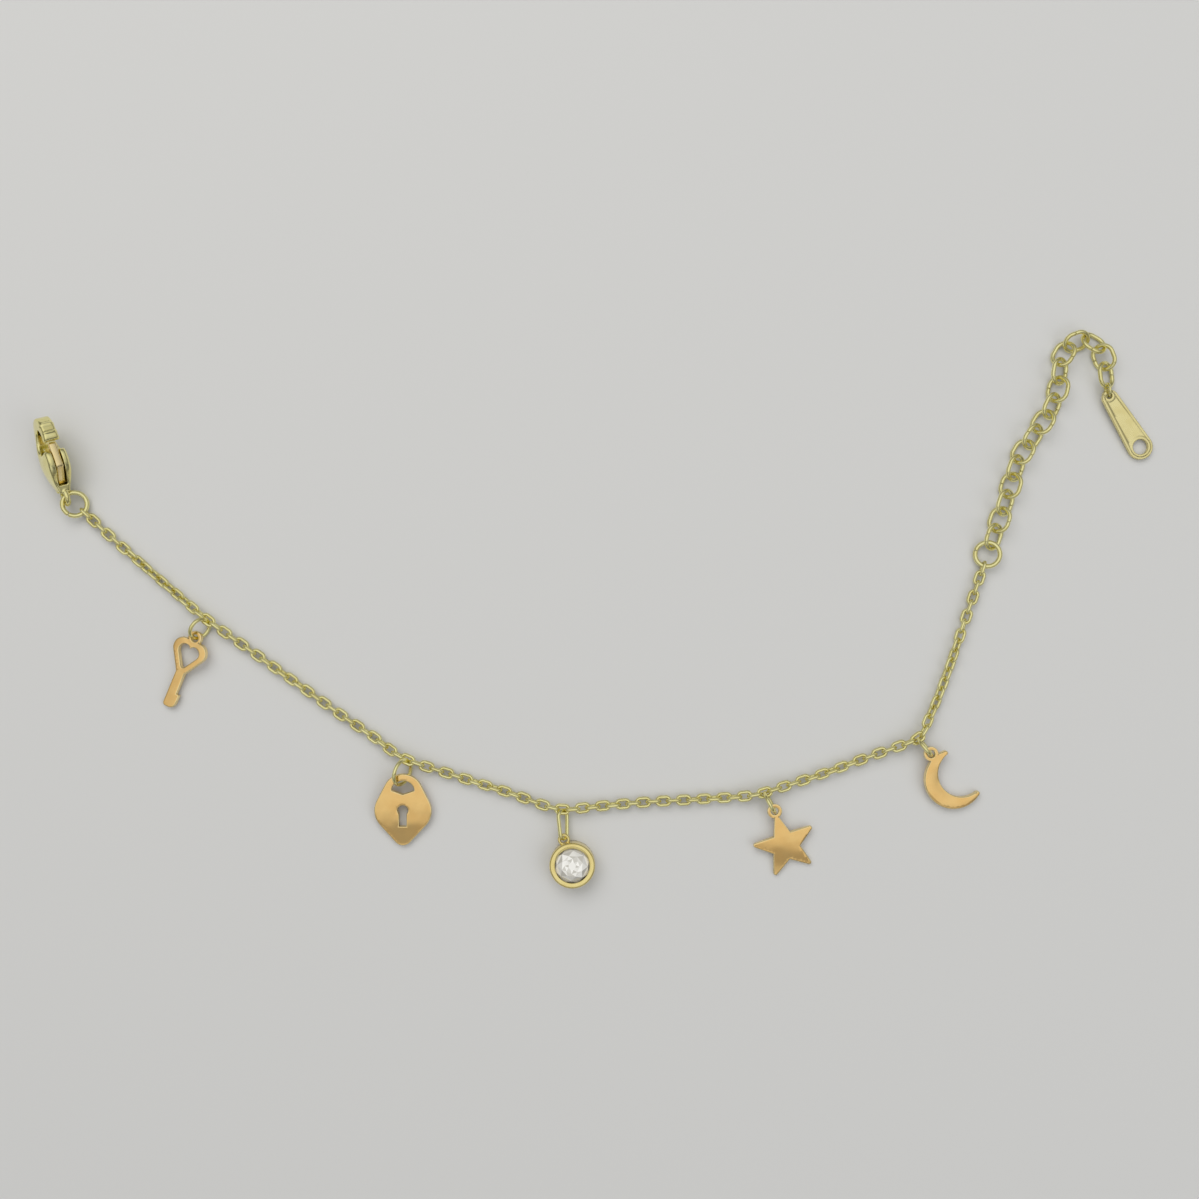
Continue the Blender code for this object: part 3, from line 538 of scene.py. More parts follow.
class Finish:
    """A material, its nodes, and the record's slot that it stands for."""

    def __init__(self, name, slot):
        self.slot = slot
        self.material = bpy.data.materials.new(name)
        self.material.use_nodes = True
        self.tree = self.material.node_tree
        self.shader = self.tree.nodes["Principled BSDF"]
        self.place = self.node("ShaderNodeTexCoord").outputs["Object"]

    def node(self, kind, settings=None, inputs=None):
        made = self.tree.nodes.new(kind)
        for key, value in (settings or {}).items():
            if key == "stops":
                for position, colour in value:
                    stop = made.color_ramp.elements.new(position)
                    stop.color = colour
                made.color_ramp.elements.remove(made.color_ramp.elements[0])
                made.color_ramp.elements.remove(made.color_ramp.elements[-1])
            else:
                setattr(made, key, value)
        self.fill(made, inputs or {})
        return made

    def fill(self, target, inputs):
        for key, value in inputs.items():
            socket = target.inputs[key]
            value = value.socket if isinstance(value, Reading) else value
            if isinstance(value, bpy.types.NodeSocket):
                self.tree.links.new(value, socket)
            else:
                socket.default_value = value

    def noise(self, size, detail=2.0, stretch=(1, 1, 1)):
        """Noise between about 0 and 1 whose patches are some millimetres across."""
        mapping = self.node("ShaderNodeMapping", None, {"Vector": self.place, "Scale": stretch})
        texture = self.node("ShaderNodeTexNoise", None, {
            "Vector": mapping.outputs[0], "Scale": 1000 / size, "Detail": detail})
        return Reading(self, texture.outputs["Fac"])

    def mix(self, share, one, two):
        """A colour between two; its output is the colour one."""
        return self.node("ShaderNodeMix", {"data_type": "RGBA"},
                         {"Factor": share, 6: one, 7: two}).outputs[2]

    def rise(self, value, low, high):
        """0 below one value and 1 above another, smooth in between."""
        ranged = self.node("ShaderNodeMapRange", {"interpolation_type": "SMOOTHSTEP"},
                           {"Value": value, "From Min": low, "From Max": high})
        return Reading(self, ranged.outputs[0])

    def bump(self, height, depth, strength=1.0):
        """Height between 0 and 1, as a depth in millimetres."""
        return self.node("ShaderNodeBump", None, {
            "Height": height, "Distance": depth / 1000, "Strength": strength}).outputs[0]


def gold_finish(name, slot, bright, deep, rough, ripple):
    """Polished plated metal: faint mottling, hairlines and a soft ripple of the polish."""
    finish = Finish(name, slot)
    cloud = finish.rise(finish.noise(1.6, 3), 0.35, 0.68)
    speck = finish.noise(0.12, 2)
    hair = finish.rise(finish.noise(0.05, 2, (0.06, 1, 1)), 0.56, 0.72)
    colour = finish.mix(cloud * 0.55, (*bright, 1), (*deep, 1))
    finish.fill(finish.shader, {
        "Base Color": colour,
        "Metallic": 1.0,
        "Roughness": rough + speck * 0.05 + cloud * 0.03 + hair * 0.05,
        "Normal": finish.bump(finish.noise(2.2, 1) + hair * 0.02 + speck * 0.01, ripple),
    })
    return finish


def charm_finish():
    """Warm mirror-polished faces; the paler colour on the rounded rims is a painted highlight,
    where the plating would catch light.
    """
    finish = Finish("warm_mirror_gold", "warm_gold")
    attribute = finish.node("ShaderNodeAttribute", {"attribute_name": "rim"})
    rim = Reading(finish, attribute.outputs["Fac"])
    cloud = finish.rise(finish.noise(2.6, 3), 0.35, 0.68)
    hair = finish.rise(finish.noise(0.05, 2, (1, 0.05, 1)), 0.58, 0.74)
    face = finish.mix(cloud * 0.6, (0.90, 0.61, 0.24, 1), (0.84, 0.52, 0.18, 1))
    # Painted highlight: the rim mask mixes a paler gold into the colour on the rounded edges; the
    # same mask also raises the roughness a little.
    colour = finish.mix(rim, face, (0.94, 0.77, 0.40, 1))
    finish.fill(finish.shader, {
        "Base Color": colour,
        "Metallic": 1.0,
        "Roughness": 0.12 + rim * 0.05 + cloud * 0.03 + hair * 0.05,
        "Normal": finish.bump(finish.noise(3.5, 1) + hair * 0.01, 0.05),
    })
    return finish


def stone_finish():
    """Clear and colourless; each facet's colour, grey to white by the attribute glint, is a painted
    reflection of its share of the light.
    """
    finish = Finish("clear_brilliant", "clear_stone")
    attribute = finish.node("ShaderNodeAttribute", {"attribute_name": "glint"})
    glint = Reading(finish, attribute.outputs["Fac"])
    cloud = finish.noise(0.8, 3)
    finish.fill(finish.shader, {
        # Painted reflection: each facet's glint share mixes grey to white into the base colour.
        "Base Color": finish.mix(glint, (0.58, 0.56, 0.50, 1), (1.0, 0.99, 0.94, 1)),
        "Metallic": 0.2,
        "Roughness": 0.04 + cloud * 0.04,
        "Coat Weight": 0.5,
    })
    return finish


# Setting pieces down

SHIFT = Matrix()
MILLIMETRES = Matrix.Scale(0.001, 4)


def keep(shape, matrix, finish, node, name=None, sharp=40):
    """Set a shape down in metres, dress it and let it stand for its solid."""
    name = name or "polished_" + node
    mesh = bpy.data.meshes.new(name)
    shape.to_mesh(mesh)
    shape.free()
    mesh.transform(MILLIMETRES @ SHIFT @ matrix)
    mesh.materials.append(finish.material)
    mesh.shade_smooth()
    mesh.set_sharp_from_angle(angle=radians(sharp))
    obj = bpy.data.objects.new(name, mesh)
    bpy.context.scene.collection.objects.link(obj)
    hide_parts(node)
    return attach(obj, "lever" if node == "clasp_lever" else "bracelet")


def keep_ring(node, outer, wire, matrix, seam_at=60):
    shape = wire_along(loop_path(outer, outer, wire, RING_STEPS, SEAM), wire, closed=False)
    return keep(shape, matrix @ Matrix.Rotation(radians(seam_at), 4, "Z"), PALE, node)


class Hoop:
    """A jump ring stood on the floor, leaning to the right of its heading."""

    def __init__(self, outer, wire, lean, heading):
        self.outer = outer
        self.wire = wire
        self.radius = (outer - wire) / 2
        self.along = flat_direction(heading)
        right = flat_direction(heading - 90)
        self.up = Vector((0, 0, cos(radians(lean)))) + right * sin(radians(lean))
        self.height = self.radius * self.up.z + wire / 2
        self.hold = self.height * HOLD_SHARE
        self.centre = Vector((0, 0, self.height))

    def point(self, height, end):
        """Where the wire's middle is at a height, at the near or the far end."""
        rise = (height - self.height) / (self.radius * self.up.z)
        run = end * sqrt(1 - rise ** 2)
        return self.centre + self.radius * (run * self.along + rise * self.up)

    def thread(self, place):
        """Move the ring until its near end passes through a place."""
        shift = place - self.point(place.z, -1)
        self.centre += Vector((shift.x, shift.y, 0))

    def build(self, node, seam_at):
        matrix = axes_matrix(self.centre, self.along, self.up)
        return keep_ring(node, self.outer, self.wire, matrix, seam_at)


def let_down(shape, eye, heading, roll=0):
    """Where a charm lies that is held at its eye, with its far end on the floor."""
    turn = Matrix.Translation(eye) @ Matrix.Rotation(radians(heading + 90), 4, "Z")
    tilt = Matrix.Rotation(radians(roll), 4, "Y")
    low, high = -30.0, 60.0
    for _ in range(30):
        pitch = (low + high) / 2
        matrix = turn @ Matrix.Rotation(radians(pitch), 4, "X") @ tilt
        if min((matrix @ vertex.co).z for vertex in shape.verts) > 0:
            low = pitch
        else:
            high = pitch
    return matrix


# Charms, each with its eye at its own origin


def eased(value, low, high):
    share = min(max((value - low) / (high - low), 0), 1)
    return share * share * (3 - 2 * share)


def eye_share(x, y):
    """Thinner round the eye at the origin."""
    return 1 - EYE_THINNING * (1 - eased(hypot(x, y), 0.9, 1.6))


def key_shape():
    band = (KEY_BOW_WIDTH - KEY_WINDOW_WIDTH) / 2
    window_height = KEY_BOW_HEIGHT * KEY_WINDOW_WIDTH / KEY_BOW_WIDTH
    window_drop = KEY_BOW_DROP + band * 0.8
    half = KEY_SHAFT_WIDTH / 2
    top = -(window_drop + window_height + band / 2)
    end = EYE_HOLE / 2 + EYE_RIM - KEY_LENGTH
    heel, toe = half * 0.7, half * 1.3
    shaft = [(half, top), (-half, top)]
    shaft += arc((heel - half, end + heel), heel, 180, 270)
    shaft += arc((half + KEY_TOOTH - toe, end + toe), toe, 270, 360)
    shaft += [(half + KEY_TOOTH, end + KEY_TOOTH_LENGTH), (half, end + KEY_TOOTH_LENGTH)]
    bow = heart(KEY_BOW_WIDTH, KEY_BOW_HEIGHT, KEY_BOW_DROP)
    window = heart(KEY_WINDOW_WIDTH, window_height, window_drop)
    middle = -KEY_BOW_DROP - KEY_BOW_HEIGHT / 2

    def fullness(x, y):
        return eye_share(x, y) * (1 - 0.25 * min(hypot(x, (y - middle) * 0.5) / 3, 1) ** 2)

    return casting([bow, shaft, circle(EYE_HOLE / 2 + EYE_RIM)], [window, circle(EYE_HOLE / 2)],
                   CHARM_THICKNESS, CHARM_EDGE, fullness)


def lock_shape():
    """A heart padlock; its eye is where the ring passes the shackle's window."""
    lobe_reach = LOCK_WIDTH / 2 - LOCK_LOBE
    outline = belt((
        ((0, -LOCK_DOME), LOCK_DOME),
        ((-lobe_reach, -LOCK_LOBE_DROP), LOCK_LOBE),
        ((0, LOCK_TIP - LOCK_HEIGHT), LOCK_TIP),
        ((lobe_reach, -LOCK_LOBE_DROP), LOCK_LOBE),
    ))
    sill = -LOCK_BAR - LOCK_WINDOW_RISE
    squash = LOCK_WINDOW_RISE / (LOCK_WINDOW_WIDTH / 2)
    window = [(x, sill + y * squash) for x, y in arc((0, 0), LOCK_WINDOW_WIDTH / 2, 0, 180)]
    window.append((0, sill - LOCK_WINDOW_CLEFT))
    opening = -degrees(acos(KEYHOLE_SLOT / 2 / KEYHOLE_RADIUS))
    keyhole = arc((0, -KEYHOLE_DROP), KEYHOLE_RADIUS, opening, 180 - opening)
    foot = KEYHOLE_RADIUS - KEYHOLE_DROP - KEYHOLE_LENGTH
    keyhole += [(-KEYHOLE_SLOT / 2, foot), (KEYHOLE_SLOT / 2, foot)]
    middle = -LOCK_HEIGHT * 0.52

    def fullness(x, y):
        return 1 - 0.45 * eased(abs(x + 0.4), 0.3, 4.6) - 0.25 * eased(abs(y - middle), 1, 5.5)

    shape = casting([outline], [window, keyhole], CHARM_THICKNESS, CHARM_EDGE, fullness)
    ring_drop = LOCK_BAR + RING_WIRE / 2 + LOCK_HANG
    bmesh.ops.translate(shape, vec=(LOCK_RING_OFFSET, ring_drop, 0), verts=shape.verts)
    return shape


def star_shape():
    middle = -(STAR_RADIUS + EYE_HOLE / 2 + SEAT_GAP)
    points = []
    for arm in range(5):
        out = 90 + 72 * arm
        reach = STAR_RADIUS - STAR_TIP
        tip = (reach * cos(radians(out)), middle + reach * sin(radians(out)))
        points += arc(tip, STAR_TIP, out - 72, out + 72, 18)
        notch = radians(out + 36)
        points.append((STAR_WAIST * cos(notch), middle + STAR_WAIST * sin(notch)))

    def fullness(x, y):
        return eye_share(x, y) * (1 - 0.5 * min(hypot(x, y - middle) / STAR_RADIUS, 1) ** 2)

    return casting([points, circle(EYE_HOLE / 2 + EYE_RIM)], [circle(EYE_HOLE / 2)],
                   CHARM_THICKNESS, CHARM_EDGE, fullness)


def moon_shape():
    """A crescent with blunt horns; its eye is just outside its back."""
    centre = Vector((0, -MOON_EYE_DROP))
    facing = radians(MOON_FACING)
    bite = centre + MOON_BITE_SHIFT * Vector((cos(facing), sin(facing)))
    upper = MOON_FACING + MOON_OPENING / 2
    lower = MOON_FACING - MOON_OPENING / 2

    def bite_point(way):
        """The place on the bite's rim along a ray from the moon's middle."""
        ray = Vector((cos(radians(way)), sin(radians(way))))
        shift = (bite - centre).dot(ray)
        reach = shift + sqrt(MOON_BITE ** 2 - (bite - centre).length ** 2 + shift ** 2)
        return centre + ray * reach

    def bite_angle(way):
        rim = bite_point(way) - bite
        return degrees(atan2(rim.y, rim.x))

    outer = arc(centre, MOON_RADIUS, upper, lower + 360)
    inner = arc(bite, MOON_BITE, bite_angle(lower) + 360, bite_angle(upper))
    horns = []
    for way in (upper, lower):
        ray = Vector((cos(radians(way)), sin(radians(way))))
        between = (bite_point(way) + centre + ray * MOON_RADIUS) / 2
        horns.append(circle(MOON_HORN, between))

    def fullness(x, y):
        away = hypot(x, y - centre.y)
        band = abs(away - MOON_RADIUS * 0.84) / (MOON_RADIUS * 0.3)
        return eye_share(x, y) * (1 - 0.4 * min(band, 1) ** 2)

    return casting([outer + inner, circle(EYE_HOLE / 2 + EYE_RIM), *horns],
                   [circle(EYE_HOLE / 2)], CHARM_THICKNESS, CHARM_EDGE, fullness)


# Stone drop


def stone_shape():
    """A brilliant; the attribute glint is a painted reflection, the light of each facet seen
    through the table.
    """
    top = STONE_GIRDLE + STONE_CROWN
    rows = (
        (0.20, top), (0.40, top), (0.57, top), (0.80, STONE_GIRDLE + STONE_CROWN * 0.56),
        (1.0, STONE_GIRDLE),
    )
    shape = bmesh.new()
    glint = shape.faces.layers.float.new("glint")
    rings = []
    for index, (share, height) in enumerate(rows):
        reach = share * STONE_WIDTH / 2
        turns = [radians(45 * corner + 22.5 * (index % 2)) for corner in range(8)]
        rings.append([shape.verts.new((reach * cos(turn), reach * sin(turn), height))
                      for turn in turns])
    facets = [rings[0]]
    for index, (inner, outer) in enumerate(zip(rings, rings[1:])):
        ahead = index % 2
        for corner in range(8):
            after = (corner + 1) % 8
            facets.append([inner[corner], inner[after], outer[(corner + ahead) % 8]])
            facets.append([outer[corner], outer[after], inner[(corner + 1 - ahead) % 8]])
    foot = shape.verts.new((0, 0, -STONE_PAVILION))
    facets += [[rings[-1][corner], rings[-1][(corner + 1) % 8], foot] for corner in range(8)]
    # Each facet's glint, the share of its painted reflection from 0 to 1, is set from its index.
    for index, corners in enumerate(facets):
        shape.faces.new(corners)[glint] = 0.5 + 0.5 * sin(index * 2.4 + 0.7)
    bmesh.ops.recalc_face_normals(shape, faces=shape.faces)
    return shape


def build_stone_drop(carrier):
    """Bail through its link, setting on the bail, stone in the setting."""
    along = flat_direction(BAIL_HEADING)
    up = Vector((0, 0, cos(radians(BAIL_LEAN))))
    up += flat_direction(BAIL_HEADING - 90) * sin(radians(BAIL_LEAN))
    head = (BAIL_WIDTH - BAIL_WIRE) / 2
    foot = (BAIL_FOOT - BAIL_WIRE) / 2
    run = BAIL_LENGTH - BAIL_WIRE
    start = carrier + along * ((LINK_WIDTH - BAIL_WIRE) / 2 - LINK_WIRE - WIRE_PLAY)
    path = belt((((head, 0), head), ((run - foot, 0), foot)))
    keep(wire_along(path, BAIL_WIRE, depth=1.25), axes_matrix(start, along, up), PALE,
         "stone_bail", sharp=180)

    eye = start + along * (run + (DROP_EYE_HOLE - BAIL_WIRE) / 2 - 3 * WIRE_PLAY)
    inner = STONE_WIDTH / 2 + SEAT_GAP
    outer = inner + BEZEL_WALL
    centre = eye + flat_direction(DROP_HEADING) * (outer + DROP_EYE_HOLE / 2)
    turn = Matrix.Rotation(radians(DROP_HEADING + 90), 4, "Z")
    girdle = BEZEL_HEIGHT - BEZEL_LIP_HEIGHT - STONE_GIRDLE - SEAT_GAP
    ledge = inner - BEZEL_LEDGE
    drop = BEZEL_LEDGE * STONE_PAVILION / (STONE_WIDTH / 2)
    lip = STONE_WIDTH / 2 - BEZEL_LIP
    foot_edge = 0.14
    profile = [(lip, BEZEL_HEIGHT - 0.05), (lip + 0.05, BEZEL_HEIGHT)]
    profile += list(reversed(arc((outer - 0.3, BEZEL_HEIGHT - 0.3), 0.3, 0, 90, 15)))
    profile += [(outer - 0.02, BEZEL_HEIGHT * 0.62), (outer - 0.05, BEZEL_HEIGHT * 0.35)]
    profile += list(reversed(arc((outer - foot_edge - 0.04, foot_edge), foot_edge, -90, 0, 30)))
    profile += [(ledge, 0), (ledge, girdle - drop - SEAT_GAP), (inner, girdle - SEAT_GAP),
                (inner, girdle + STONE_GIRDLE + SEAT_GAP)]
    size = DROP_EYE_HOLE + 2 * DROP_EYE_WIRE
    eyelet = wire_along(loop_path(size, size, DROP_EYE_WIRE, 32), DROP_EYE_WIRE, 12)
    bmesh.ops.translate(eyelet, vec=(0, outer + DROP_EYE_HOLE / 2, BEZEL_HEIGHT / 2),
                        verts=eyelet.verts)
    setting = combine(turned(profile), eyelet, "UNION")
    place = Matrix.Translation((centre.x, centre.y, 0)) @ turn
    keep(setting, place, BEZEL, "stone_setting", sharp=50)
    keep(stone_shape(), Matrix.Translation((0, 0, girdle)) @ place, CLEAR, "stone", sharp=1)


# Clasp


def clasp_point(place):
    """A place given as shares of the clasp's length and height."""
    return Vector((place[0] * CLASP_LENGTH - LOOP_OUTER / 2, (place[1] - LOOP_RISE) * CLASP_HEIGHT))


def upright(shape):
    """Stand a casting up, so that its outline is seen from the clasp's side."""
    bmesh.ops.transform(shape, matrix=Matrix.Rotation(radians(90), 4, "X"), verts=shape.verts)
    return shape


def clasp_body_shape():
    """Claw with two cheeks, loop, lever slot and pin, softened like a casting."""
    claw = smooth_line([clasp_point(place) for place in CLAW_OUTLINE], 6, closed=True)
    rows = smooth_line([Vector((clasp_point((x, 0)).x, share)) for x, share in CLAW_FULLNESS], 8)
    middle = clasp_point((0, 0.5)).y

    def fullness(x, y):
        index = next((i for i, row in enumerate(rows) if row.x > x), len(rows) - 1)
        one, two = rows[max(index - 1, 0)], rows[max(index, 1)]
        share = one.y + (two.y - one.y) * (x - one.x) / (two.x - one.x)
        return share * sqrt(1 - 0.5 * min(abs(y - middle) / (CLASP_HEIGHT * 0.54), 1) ** 2)

    body = upright(casting([claw], [], CLASP_THICKNESS, CLAW_ROUNDING, fullness))
    ring_wire = (LOOP_OUTER - LOOP_HOLE) / 2 + 0.1
    loop = upright(wire_along(loop_path(LOOP_OUTER + 0.1, LOOP_OUTER + 0.1, ring_wire, 48),
                              ring_wire, 14, depth=1.15))
    body = combine(body, loop, "UNION")
    body = combine(body, upright(prism(circle(LOOP_HOLE / 2), 2 * CLASP_THICKNESS)), "DIFFERENCE")
    for place, turn in (((0.835, 0.995), -18), ((0.925, 0.90), -48)):
        at = clasp_point(place)
        band = wire_along(loop_path(2.0, 1.1, 0.3, 32), 0.3, 10)
        matrix = Matrix.Translation((at.x, 0, at.y)) @ Matrix.Rotation(radians(-turn), 4, "Y")
        matrix = matrix @ Matrix.Translation((0, 0, -0.42)) @ Matrix.Rotation(pi / 2, 4, "Y")
        matrix = matrix @ Matrix.Rotation(pi / 2, 4, "Z")
        bmesh.ops.transform(band, matrix=matrix, verts=band.verts)
        body = combine(body, band, "UNION")

    pin = clasp_point(PIN_PLACE)
    half = LEVER_THICKNESS / 2 + SEAT_GAP
    rear = pin.x - LEVER_HUB - SEAT_GAP
    front = clasp_point((SLOT_END, 0)).x
    floor = clasp_point((0, SLOT_FLOOR)).y
    slot = prism([(rear, half), (rear, -half), (front, -half), (front, half)], CLASP_HEIGHT / 2)
    bmesh.ops.translate(slot, vec=(0, 0, floor + CLASP_HEIGHT / 2), verts=slot.verts)
    body = combine(body, slot, "DIFFERENCE")
    rod = upright(prism(circle(PIN_RADIUS), half + CLASP_THICKNESS / 8))
    bmesh.ops.translate(rod, vec=(pin.x, 0, pin.y), verts=rod.verts)
    body = scratch_object(combine(body, rod, "UNION"))
    grain = body.modifiers.new("grain", "REMESH")
    grain.mode = "VOXEL"
    grain.voxel_size = CLAW_VOXEL
    polish = body.modifiers.new("polish", "SMOOTH")
    polish.iterations = CLAW_SMOOTHING
    polish.factor = 0.5
    return as_evaluated(body)


def clasp_lever_shape():
    """Hub, thumb knob and gate, with the pin's bore at its origin."""
    pin = clasp_point(PIN_PLACE)
    nose = clasp_point(NOSE_PLACE) - pin
    knob = clasp_point(KNOB_PLACE) - pin
    tip = nose.normalized() * (nose.length - 2 * SEAT_GAP - LEVER_NOSE)
    outline = belt((((0, 0), LEVER_HUB), (tip, LEVER_NOSE), (knob, LEVER_KNOB)))
    return upright(casting([outline], [circle(PIN_RADIUS + SEAT_GAP)], LEVER_THICKNESS, 0.2))


def clasp_turn():
    """The clasp's own axes: heading away, hook raised, lever side leaning right."""
    heading, pitch, lean = radians(CLASP_HEADING), radians(CLASP_PITCH), radians(CLASP_LEAN)
    along = Vector((cos(heading) * cos(pitch), sin(heading) * cos(pitch), sin(pitch)))
    right = Vector((sin(heading), -cos(heading), 0))
    lever_side = right.cross(along) * cos(lean) + right * sin(lean)
    return axes_matrix(Vector(), along, lever_side.cross(along))


def build_clasp(first_link, link_way):
    """Clasp and its jump ring, from the first link of the chain outwards."""
    radius = (CLASP_RING - CLASP_RING_WIRE) / 2
    start = first_link + link_way * (LINK_LENGTH / 2 - LINK_WIRE - CLASP_RING_WIRE / 2 - WIRE_PLAY)
    rise = CLASP_REST - start.z
    way = flat_direction(CLASP_RING_HEADING) * sqrt(4 * radius ** 2 - rise ** 2)
    way += Vector((0, 0, rise))
    loop = start + way
    way.normalize()
    ring_side = Matrix.Rotation(radians(CLASP_RING_ROLL), 3, way) @ Vector((-way.y, way.x, 0))
    ring = axes_matrix(start + way * radius, way, ring_side)
    keep_ring("clasp_ring", CLASP_RING, CLASP_RING_WIRE, ring, 10)
    place = Matrix.Translation(loop) @ clasp_turn()
    keep(clasp_body_shape(), place, PALE, "clasp_body", sharp=180)
    pin = clasp_point(PIN_PLACE)
    at_pin = place @ Matrix.Translation((pin.x, 0, pin.y))
    keep(clasp_lever_shape(), at_pin, WARM, "clasp_lever", sharp=50)


# Chain


class Chain:
    """Places of the fine chain's links, with the lifts that the charm rings give."""

    def __init__(self, route):
        self.route = route
        self.pitch = route.length / CHAIN_STEPS
        self.lifts = []

    def lift(self, share, height):
        number = 2 * round(share * CHAIN_STEPS / 2)
        self.lifts.append((number * self.pitch, height))
        return number

    def point(self, distance):
        rest = LINK_WIDTH / 2
        height = rest
        for mark, top in self.lifts:
            share = abs(distance - mark) / LIFT_REACH
            if share < 1:
                height = max(height, rest + (top - rest) * cos(pi * share / 2) ** 2)
        place = self.route.at(distance)
        return Vector((place.x, place.y, height))

    def matrix(self, number, twist=0.0):
        """Where a link lies: even ones are flat and odd ones stand, before their twist."""
        distance = number * self.pitch
        before = self.point(max(distance - self.pitch, 0))
        after = self.point(min(distance + self.pitch, self.route.length))
        along = after - before
        side = Vector((0, 0, 1)) if number % 2 else Vector((-along.y, along.x, 0))
        turn = Matrix.Rotation(radians(twist), 4, "X")
        return axes_matrix(self.point(distance), along, side) @ turn


def fine_link():
    return wire_along(loop_path(LINK_LENGTH, LINK_WIDTH, LINK_WIRE, FINE_STEPS), LINK_WIRE,
                      FINE_SIDES)


def build_chain_and_charms(chain):
    true_links = {0: "clasp_end_link", CHAIN_STEPS: "extender_end_link"}
    stone_number = chain.lift(BAIL_PLACE, BEZEL_HEIGHT / 2)
    true_links[stone_number] = "stone_link"
    rings = {}
    for name, (outer, lean, heading, share) in RINGS.items():
        ring = Hoop(outer, RING_WIRE, lean, heading)
        number = chain.lift(share, ring.hold)
        rings[name] = (ring, number)
        true_links[number] = name + "_link"

    for number, node in true_links.items():
        shape = wire_along(loop_path(LINK_LENGTH, LINK_WIDTH, LINK_WIRE, 32), LINK_WIRE, 12)
        twist = 90 if number in (0, CHAIN_STEPS) else 0
        keep(shape, chain.matrix(number, twist), PALE, node, sharp=180)
    pattern = bpy.data.meshes.new("pattern")
    link = fine_link()
    link.to_mesh(pattern)
    link.free()
    numbers = sorted(true_links)
    for index, (first, last) in enumerate(zip(numbers, numbers[1:]), 1):
        run = bmesh.new()
        for number in range(first + 1, last):
            share = (number - first) / (last - first)
            twist = TWIST * sin(pi * share) * sin(number * 0.55)
            if first == 0:
                twist += 90 * (1 - share)
            if last == CHAIN_STEPS:
                twist += 90 * share
            known = len(run.verts)
            run.from_mesh(pattern)
            run.verts.ensure_lookup_table()
            bmesh.ops.transform(run, matrix=chain.matrix(number, twist), verts=run.verts[known:])
        keep(run, Matrix(), PALE, f"chain_run_{index}", f"fine_links_{index}", sharp=180)
    bpy.data.meshes.remove(pattern)

    charms = {
        "key": (key_shape, KEY_HEADING, KEY_ROLL, 70),
        "padlock": (lock_shape, LOCK_HEADING, 0, 110),
        "star": (star_shape, STAR_HEADING, 0, 75),
        "moon": (moon_shape, MOON_HEADING, 0, 80),
    }
    link_slack = (LINK_WIDTH - RING_WIRE) / 2 - LINK_WIRE - WIRE_PLAY
    for name, (shape_of, heading, roll, seam_at) in charms.items():
        ring, number = rings[name]
        ring.thread(chain.point(number * chain.pitch) + ring.along * link_slack)
        ring.build(name + "_ring", seam_at)
        shape = shape_of()
        matrix = let_down(shape, ring.point(ring.hold, 1), heading, roll)
        keep(shape, matrix, WARM, name + "_charm", sharp=50)
    build_stone_drop(chain.point(stone_number * chain.pitch))


# Extender


def tag_shape():
    """A tapered plate with a round hole and a low border; its eye is at the origin."""
    top, end = TAG_TOP_WIDTH / 2, TAG_END_WIDTH / 2
    eye = TAG_EYE / 2 + TAG_EYE_RIM
    top_place = (0, eye - top)
    end_place = (0, eye - TAG_LENGTH + end)
    outline = belt(((top_place, top), (end_place, end)))
    return casting([outline], [circle(TAG_EYE / 2), circle(TAG_HOLE / 2, end_place)],
                   TAG_THICKNESS, TAG_EDGE, None, TAG_BORDER, TAG_SINK)


def build_extender(chain):
    """A round ring, then oval links that lean to each side in turn, then the tag."""
    last_link = chain.point(chain.route.length)
    leave = flat_direction(chain.route.heading(chain.route.length))
    ring_radius = (EXTENDER_RING - EXTENDER_RING_WIRE) / 2
    ring_slack = LINK_LENGTH / 2 - LINK_WIRE - EXTENDER_RING_WIRE / 2 - WIRE_PLAY
    ring_centre = last_link + leave * (ring_slack + ring_radius)
    route = Route(((ring_centre.x, ring_centre.y), *EXTENDER_ROUTE[1:]))
    inner = EXTENDER_LENGTH / 2 - EXTENDER_WIRE
    first = ring_radius - EXTENDER_RING_WIRE / 2 + inner - 5 * WIRE_PLAY
    pitch = (route.length - first) / (EXTENDER_LINKS - 1)
    lean = radians(EXTENDER_LEAN)
    height = (EXTENDER_WIDTH - EXTENDER_WIRE) / 2 * sin(lean) + EXTENDER_WIRE / 2

    def matrix_at(distance, turn, z, rise=0.0):
        place = route.at(distance)
        heading = route.heading(distance, pitch)
        side = flat_direction(heading + 90) * cos(turn) + Vector((0, 0, sin(turn)))
        along = flat_direction(heading) + Vector((0, 0, rise))
        return axes_matrix(Vector((place.x, place.y, z)), along, side)

    rise = (height - last_link.z) / (2 * ring_radius)
    matrix = matrix_at(0, -radians(EXTENDER_RING_LEAN), (height + last_link.z) / 2, rise)
    keep_ring("extender_ring", EXTENDER_RING, EXTENDER_RING_WIRE, matrix, 0)
    for number in range(EXTENDER_LINKS):
        turn = lean if number % 2 == 0 else -lean
        path = loop_path(EXTENDER_LENGTH, EXTENDER_WIDTH, EXTENDER_WIRE, 44, SEAM)
        flip = Matrix.Rotation(pi if number % 3 else 0, 4, "Z")
        matrix = matrix_at(first + number * pitch, turn, height) @ flip
        keep(wire_along(path, EXTENDER_WIRE, 14, closed=False), matrix, PALE,
             f"extender_link_{number + 1:02d}")
    last_place = route.at(route.length)
    ring = Hoop(TAG_RING, TAG_RING_WIRE, 0, route.heading(route.length, pitch))
    last = Vector((last_place.x, last_place.y, height))
    ring.thread(last + ring.along * (inner - TAG_RING_WIRE / 2 - WIRE_PLAY))
    ring.build("tag_ring", 120)
    shape = tag_shape()
    keep(shape, let_down(shape, ring.point(ring.height, 1), TAG_HEADING), TAG, "end_tag", sharp=50)


# Floor, light and camera

